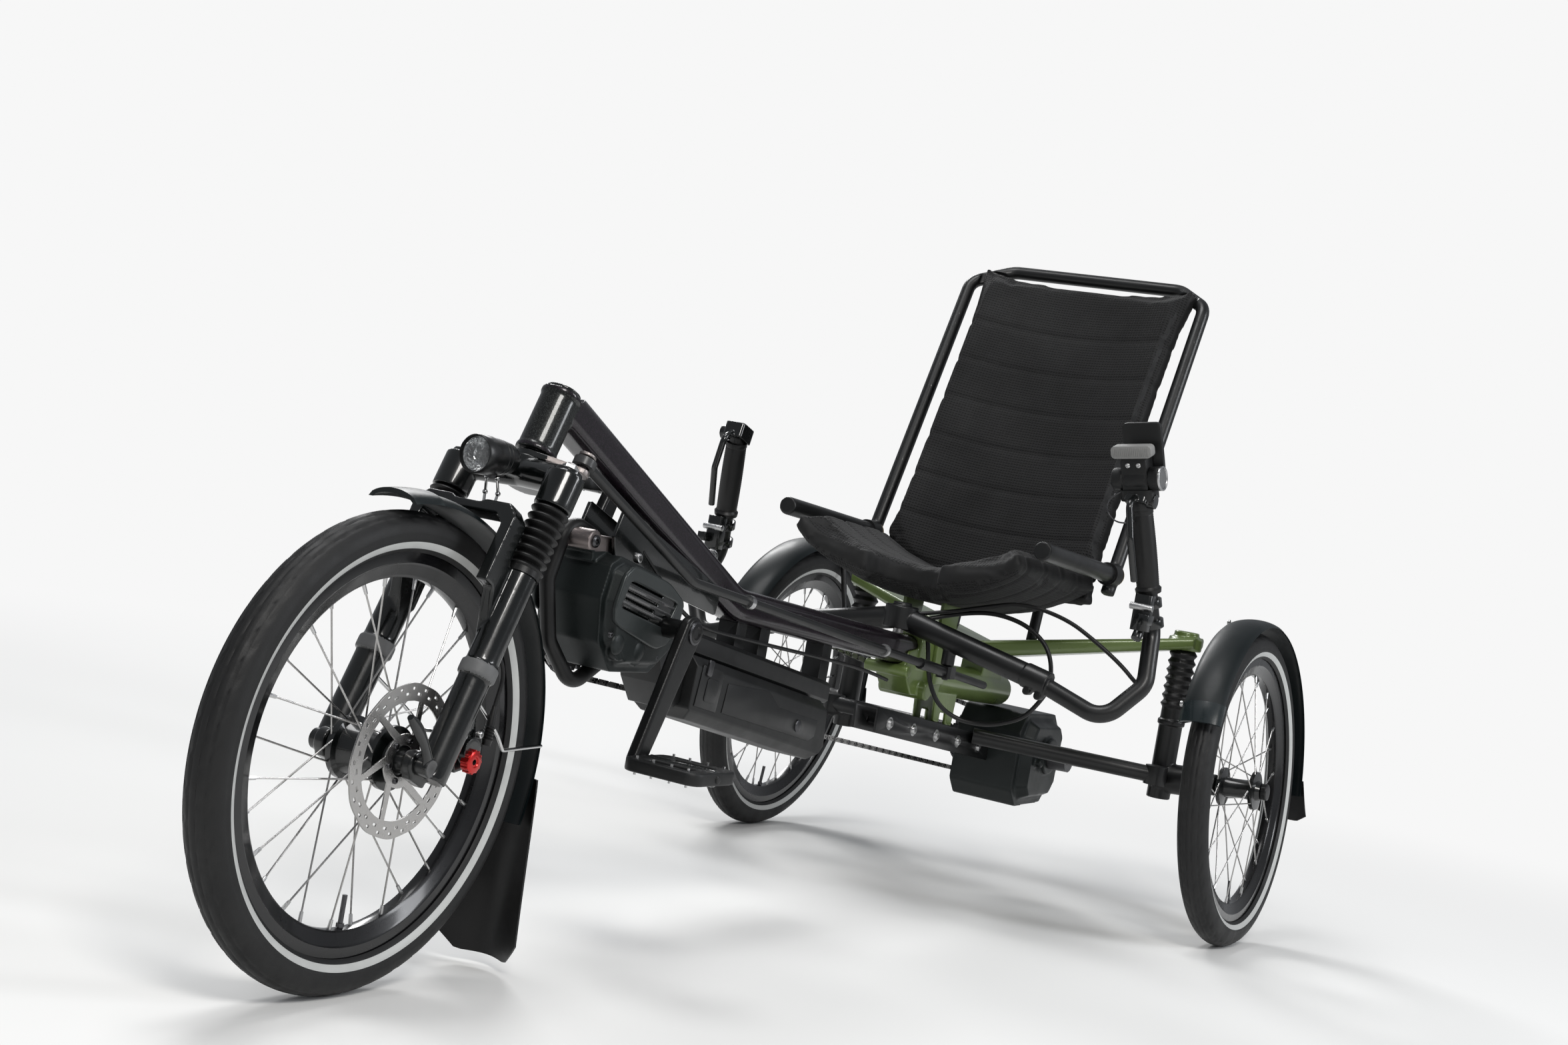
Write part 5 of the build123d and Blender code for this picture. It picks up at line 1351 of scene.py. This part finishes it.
def make_lever_mounts():
    """Clamps, hinge bodies and adjusters of the levers under each grip."""
    heap = Heap()
    for side in (-1, 1):
        low = Vector((side * 0.366, 0.4135, 0.478))
        way = (grip_ends(side)[0] - low).normalized()
        for s in (0.01, 0.04):
            clamp = stand(low + way * s, way)
            heap.ring(clamp, 0.0124, 0.0178, 0.012, 40)
            heap.bolt(low + way * (s + 0.006) + Vector((0, -0.0172, 0)), (0, -1, 0), 0.0034, 0.0034, kind=1)
        front = Matrix.Translation(low + way * 0.032 + Vector((-side * 0.002, -0.026, 0.0)))
        heap.slab(rounded_box(0.026, 0.022, 0.005), -0.028, 0.024, front)
        heap.slab(rounded_box(0.016, 0.03, 0.004, (side * 0.01, -0.012)), -0.018, -0.004, front)
        hinge = front @ Vector((0, -0.01, 0.006))
        half = Vector((0.017, 0, 0))
        heap.pin(hinge - half, hinge + half, 0.005, kind=1, sides=20)
        knob = front @ Vector((0, -0.01, -0.04))
        heap.pin(knob, front @ Vector((0, 0, -0.026)), 0.0075, sides=20)
        if side < 0:
            turned = stand(knob, (0.75, -0.6, 0.0))
            heap.turned([(-0.006, 0.0), (-0.006, 0.0085), (0.004, 0.0085), (0.004, 0.0118), (0.0125, 0.0118),
                         (0.0135, 0.01), (0.0135, 0.006)], turned, 36, kind=1)
            heap.turned([(0.0135, 0.006), (0.0105, 0.0054), (0.0105, 0.0)], turned, 24, kind=2)
    heap.made("lever_mounts", [GLOSS, ALLOY, GREY_BAND], "handlebar", "frame_black", ease=0.0007)


def make_bar_hoses():
    """Two hoses from the pivot out under the seat to the left upright, and the wrap on it."""
    upper = [(0.018, 0.36, 0.442), (0.06, 0.38, 0.453), (0.11, 0.392, 0.47),
             (0.1666, 0.4, 0.487), (0.2361, 0.405, 0.476), (0.2847, 0.408, 0.452),
             (0.3281, 0.415, 0.4247), (0.354, 0.419, 0.402), (0.37, 0.418, 0.396),
             (0.372, 0.414, 0.424)]
    lower = [(0.018, 0.356, 0.43), (0.045, 0.38, 0.443), (0.085, 0.395, 0.457),
             (0.1258, 0.4, 0.464), (0.1729, 0.4, 0.4577), (0.2075, 0.4, 0.4391),
             (0.224, 0.4, 0.4172), (0.2309, 0.4, 0.3889), (0.228, 0.4, 0.364),
             (0.2171, 0.4, 0.3444), (0.1993, 0.4, 0.3199), (0.1566, 0.4, 0.3011),
             (0.1258, 0.398, 0.2968), (0.098, 0.388, 0.299), (0.074, 0.374, 0.313),
             (0.059, 0.364, 0.34), (0.051, 0.36, 0.37), (0.047, 0.358, 0.4),
             (0.04, 0.356, 0.423), (0.02, 0.356, 0.432)]
    cable("upper_bar_hose", upper, 0.0031, RUBBER, "handlebar", "black_rubber")
    cable("lower_bar_hose", lower, 0.0034, RUBBER, "handlebar", "black_rubber")
    wrap = Heap()
    start = Vector((0.369, 0.404, 0.41))
    way = Vector((0.364, 0.432, 0.476)) - start
    place = stand(start, way)
    turns = 9
    steps = turns * 10
    coil = []
    for i in range(steps + 1):
        coil.append(place @ Vector((way.length * i / steps, *on_circle(0.0042, 2 * pi * turns * i / steps))))
    for here, there in zip(coil, coil[1:]):
        wrap.pin(here, there, 0.001, sides=6)
    wrap.pin(start, start + way, 0.0034, kind=1, sides=12)
    wrap.made("cable_wrap", [RIBBED, RUBBER], "handlebar", "black_rubber")


# Seat

PAD_VOXEL = 0.006
PAD_SWELL = 0.012
PAD_KEEP = 0.72
COVER_FACING = 0.62
SEAM_WIDTH = 0.007
SEAM_DEPTH = 0.0028
CLOTH_FRAMES = 20


def swell(node, name, mat, channels, along):
    """A CAD pad filled out by cloth under pressure, then sewn across."""
    obj = copied(node, name)
    modify(obj, "DISPLACE", strength=-0.004, mid_level=0.0)
    modify(obj, "REMESH", mode="VOXEL", voxel_size=PAD_VOXEL)
    applied(obj)
    rest = [v.co.copy() for v in obj.data.vertices]
    blow(obj)
    for vertex, start in zip(obj.data.vertices, rest):
        move = vertex.co - start
        if move.length > PAD_SWELL:
            vertex.co = start + move.normalized() * PAD_SWELL
    sew(obj, channels, along)
    modify(obj, "SUBSURF", levels=1, render_levels=1)
    modify(obj, "DECIMATE", ratio=PAD_KEEP)
    applied(obj)
    coated(obj, [mat, BINDING])
    face_way = Vector((0, -along.z, along.y))
    for face in obj.data.polygons:
        face.material_index = 0 if abs(face.normal.dot(face_way)) > COVER_FACING else 1
    seat_piece(obj, "frame", "mesh_fabric", node)


def blow(obj):
    """Cloth under pressure with no gravity, its last frame kept."""
    cloth = obj.modifiers.new("cloth", "CLOTH")
    settings = cloth.settings
    settings.use_pressure = True
    settings.uniform_pressure_force = 4.0
    settings.quality = 5
    settings.tension_stiffness = 30.0
    settings.compression_stiffness = 30.0
    settings.effector_weights.gravity = 0.0
    cloth.point_cache.frame_start = 1
    cloth.point_cache.frame_end = CLOTH_FRAMES
    for step in range(1, CLOTH_FRAMES + 1):
        SCENE.frame_set(step)
    applied(obj)
    SCENE.frame_set(1)


def sew(obj, channels, along):
    """Pull the cover in along seams that lie across the pad."""
    obj.data.update()
    for vertex in obj.data.vertices:
        s = vertex.co.dot(along)
        pull = max(1 - abs(s - seam) / SEAM_WIDTH for seam in channels)
        if pull > 0:
            vertex.co -= vertex.normal * SEAM_DEPTH * pull


def make_seat():
    low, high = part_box("seat_base")
    seams = [low.y + 0.045 + 0.07 * i for i in range(4)]
    swell("seat_base", "seat_base_pad", BASE_MESH, seams, Vector((0, 1, 0)))
    way = Vector((0, *on_circle(1.0, radians(BACK_ANGLE))))
    low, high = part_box("seat_back")
    start = Vector((0, low.y, low.z)).dot(way)
    seams = [start + 0.06 + 0.075 * i for i in range(7)]
    swell("seat_back", "seat_back_pad", BACK_MESH, seams, way)
    cast("seat_rails", [SATIN], "frame", "frame_black", voxel=0.002, soften=3, keep=0.27)
    rounded("seat_mounts", GREEN, "frame", "frame_green", width=0.001)
    rings = Heap()
    for side in (-1, 1):
        place = stand((side * 0.212, 0.6355, 0.549), (0, 1, -0.03))
        rings.ring(place, 0.0142, 0.0172, 0.004)
        collar = [(-0.03, 0.0142), (-0.03, 0.018), (-0.002, 0.0185), (-0.002, 0.0142)]
        rings.lathe(collar, place, kind=1)
    rings.made("seat_rail_rings", [BRASS, RUBBER], "frame", "steel")


# Studio

BACKDROP = (0.93, 0.93, 0.93, 1)
FADE_FROM = 1.0
FADE_TO = 3.4
FLOOR_HALF = 40.0


def make_floor():
    """A pale floor that fades into the backdrop's colour away from the object."""
    mat = bpy.data.materials.new("pale_floor")
    net = Net(mat)
    net.put(net.shader, Base_Color=(0.78, 0.78, 0.77, 1), Roughness=0.75, Specular_IOR_Level=0.25)
    reach = net.nodes.new("ShaderNodeVectorMath")
    reach.operation = "LENGTH"
    net.feed(reach.inputs[0], net.place())
    fade = net.ramp(reach.outputs["Value"], FADE_FROM, FADE_TO, smooth=True)
    glow = net.add("Emission", "Emission", Color=BACKDROP)
    share = net.times(fade, net.add("LightPath", "Is Camera Ray"))
    net.show(share, net.shader.outputs["BSDF"], glow, "Material Output")
    mesh = bpy.data.meshes.new("floor")
    corners = [(x * FLOOR_HALF, y * FLOOR_HALF, 0) for x, y in ((-1, -1), (1, -1), (1, 1), (-1, 1))]
    mesh.from_pydata(corners, [], [(0, 1, 2, 3)])
    mesh.materials.append(mat)
    link(bpy.data.objects.new("floor", mesh))


def make_light(name, at, towards, size, power, colour=(1, 1, 1)):
    data = bpy.data.lights.new(name, "AREA")
    data.shape = "RECTANGLE"
    data.size, data.size_y = size
    data.energy = power
    data.color = colour
    lamp = link(bpy.data.objects.new(name, data))
    way = Vector(towards) - Vector(at)
    lamp.matrix_world = Matrix.Translation(Vector(at)) @ way.to_track_quat("-Z", "Y").to_matrix().to_4x4()


def make_world():
    """Soft light all round, with the backdrop's colour for the camera alone."""
    SCENE.world = bpy.data.worlds.new("studio")
    net = Net(SCENE.world)
    soft = net.nodes["Background"]
    net.put(soft, Color=(0.92, 0.95, 1.0, 1), Strength=0.3)
    seen = net.add("Background", "Background", Color=BACKDROP, Strength=1.0)
    share = net.add("LightPath", "Is Camera Ray")
    net.show(share, soft.outputs["Background"], seen, "World Output")


def make_studio():
    make_floor()
    make_world()
    make_light("key", (2.6, -3.2, 3.6), (0, -0.2, 0.4), (1.6, 1.0), 120, (1.0, 0.98, 0.95))
    make_light("side", (3.6, 1.2, 2.2), (0, 0.2, 0.4), (0.8, 2.0), 60, (0.95, 0.97, 1.0))
    make_light("back", (-2.8, 3.0, 3.2), (0, 0.4, 0.4), (1.6, 1.0), 90)
    make_light("top", (-0.6, -0.6, 4.2), (0, 0, 0.4), (1.6, 1.6), 70)
    SCENE.view_settings.view_transform = "Standard"


def make_camera():
    yaw = radians(CAMERA_YAW)
    pitch = radians(CAMERA_PITCH)
    roll = radians(CAMERA_ROLL)
    ahead = Vector((-sin(yaw) * cos(pitch), cos(yaw) * cos(pitch), sin(pitch)))
    right = Vector((cos(yaw), sin(yaw), 0))
    up = right.cross(ahead)
    across = right * cos(roll) + up * sin(roll)
    above = up * cos(roll) - right * sin(roll)
    data = bpy.data.cameras.new("camera")
    data.sensor_width = 36.0
    data.lens = LENS
    data.clip_end = 200.0
    camera = link(bpy.data.objects.new("camera", data))
    turn = Matrix((across, above, -ahead)).transposed().to_4x4()
    camera.matrix_world = Matrix.Translation(CAMERA_AT) @ turn
    SCENE.camera = camera


make_camera()
make_studio()
make_wheels()
make_fork()
make_frame()
make_cranks()
make_bar()
make_seat()
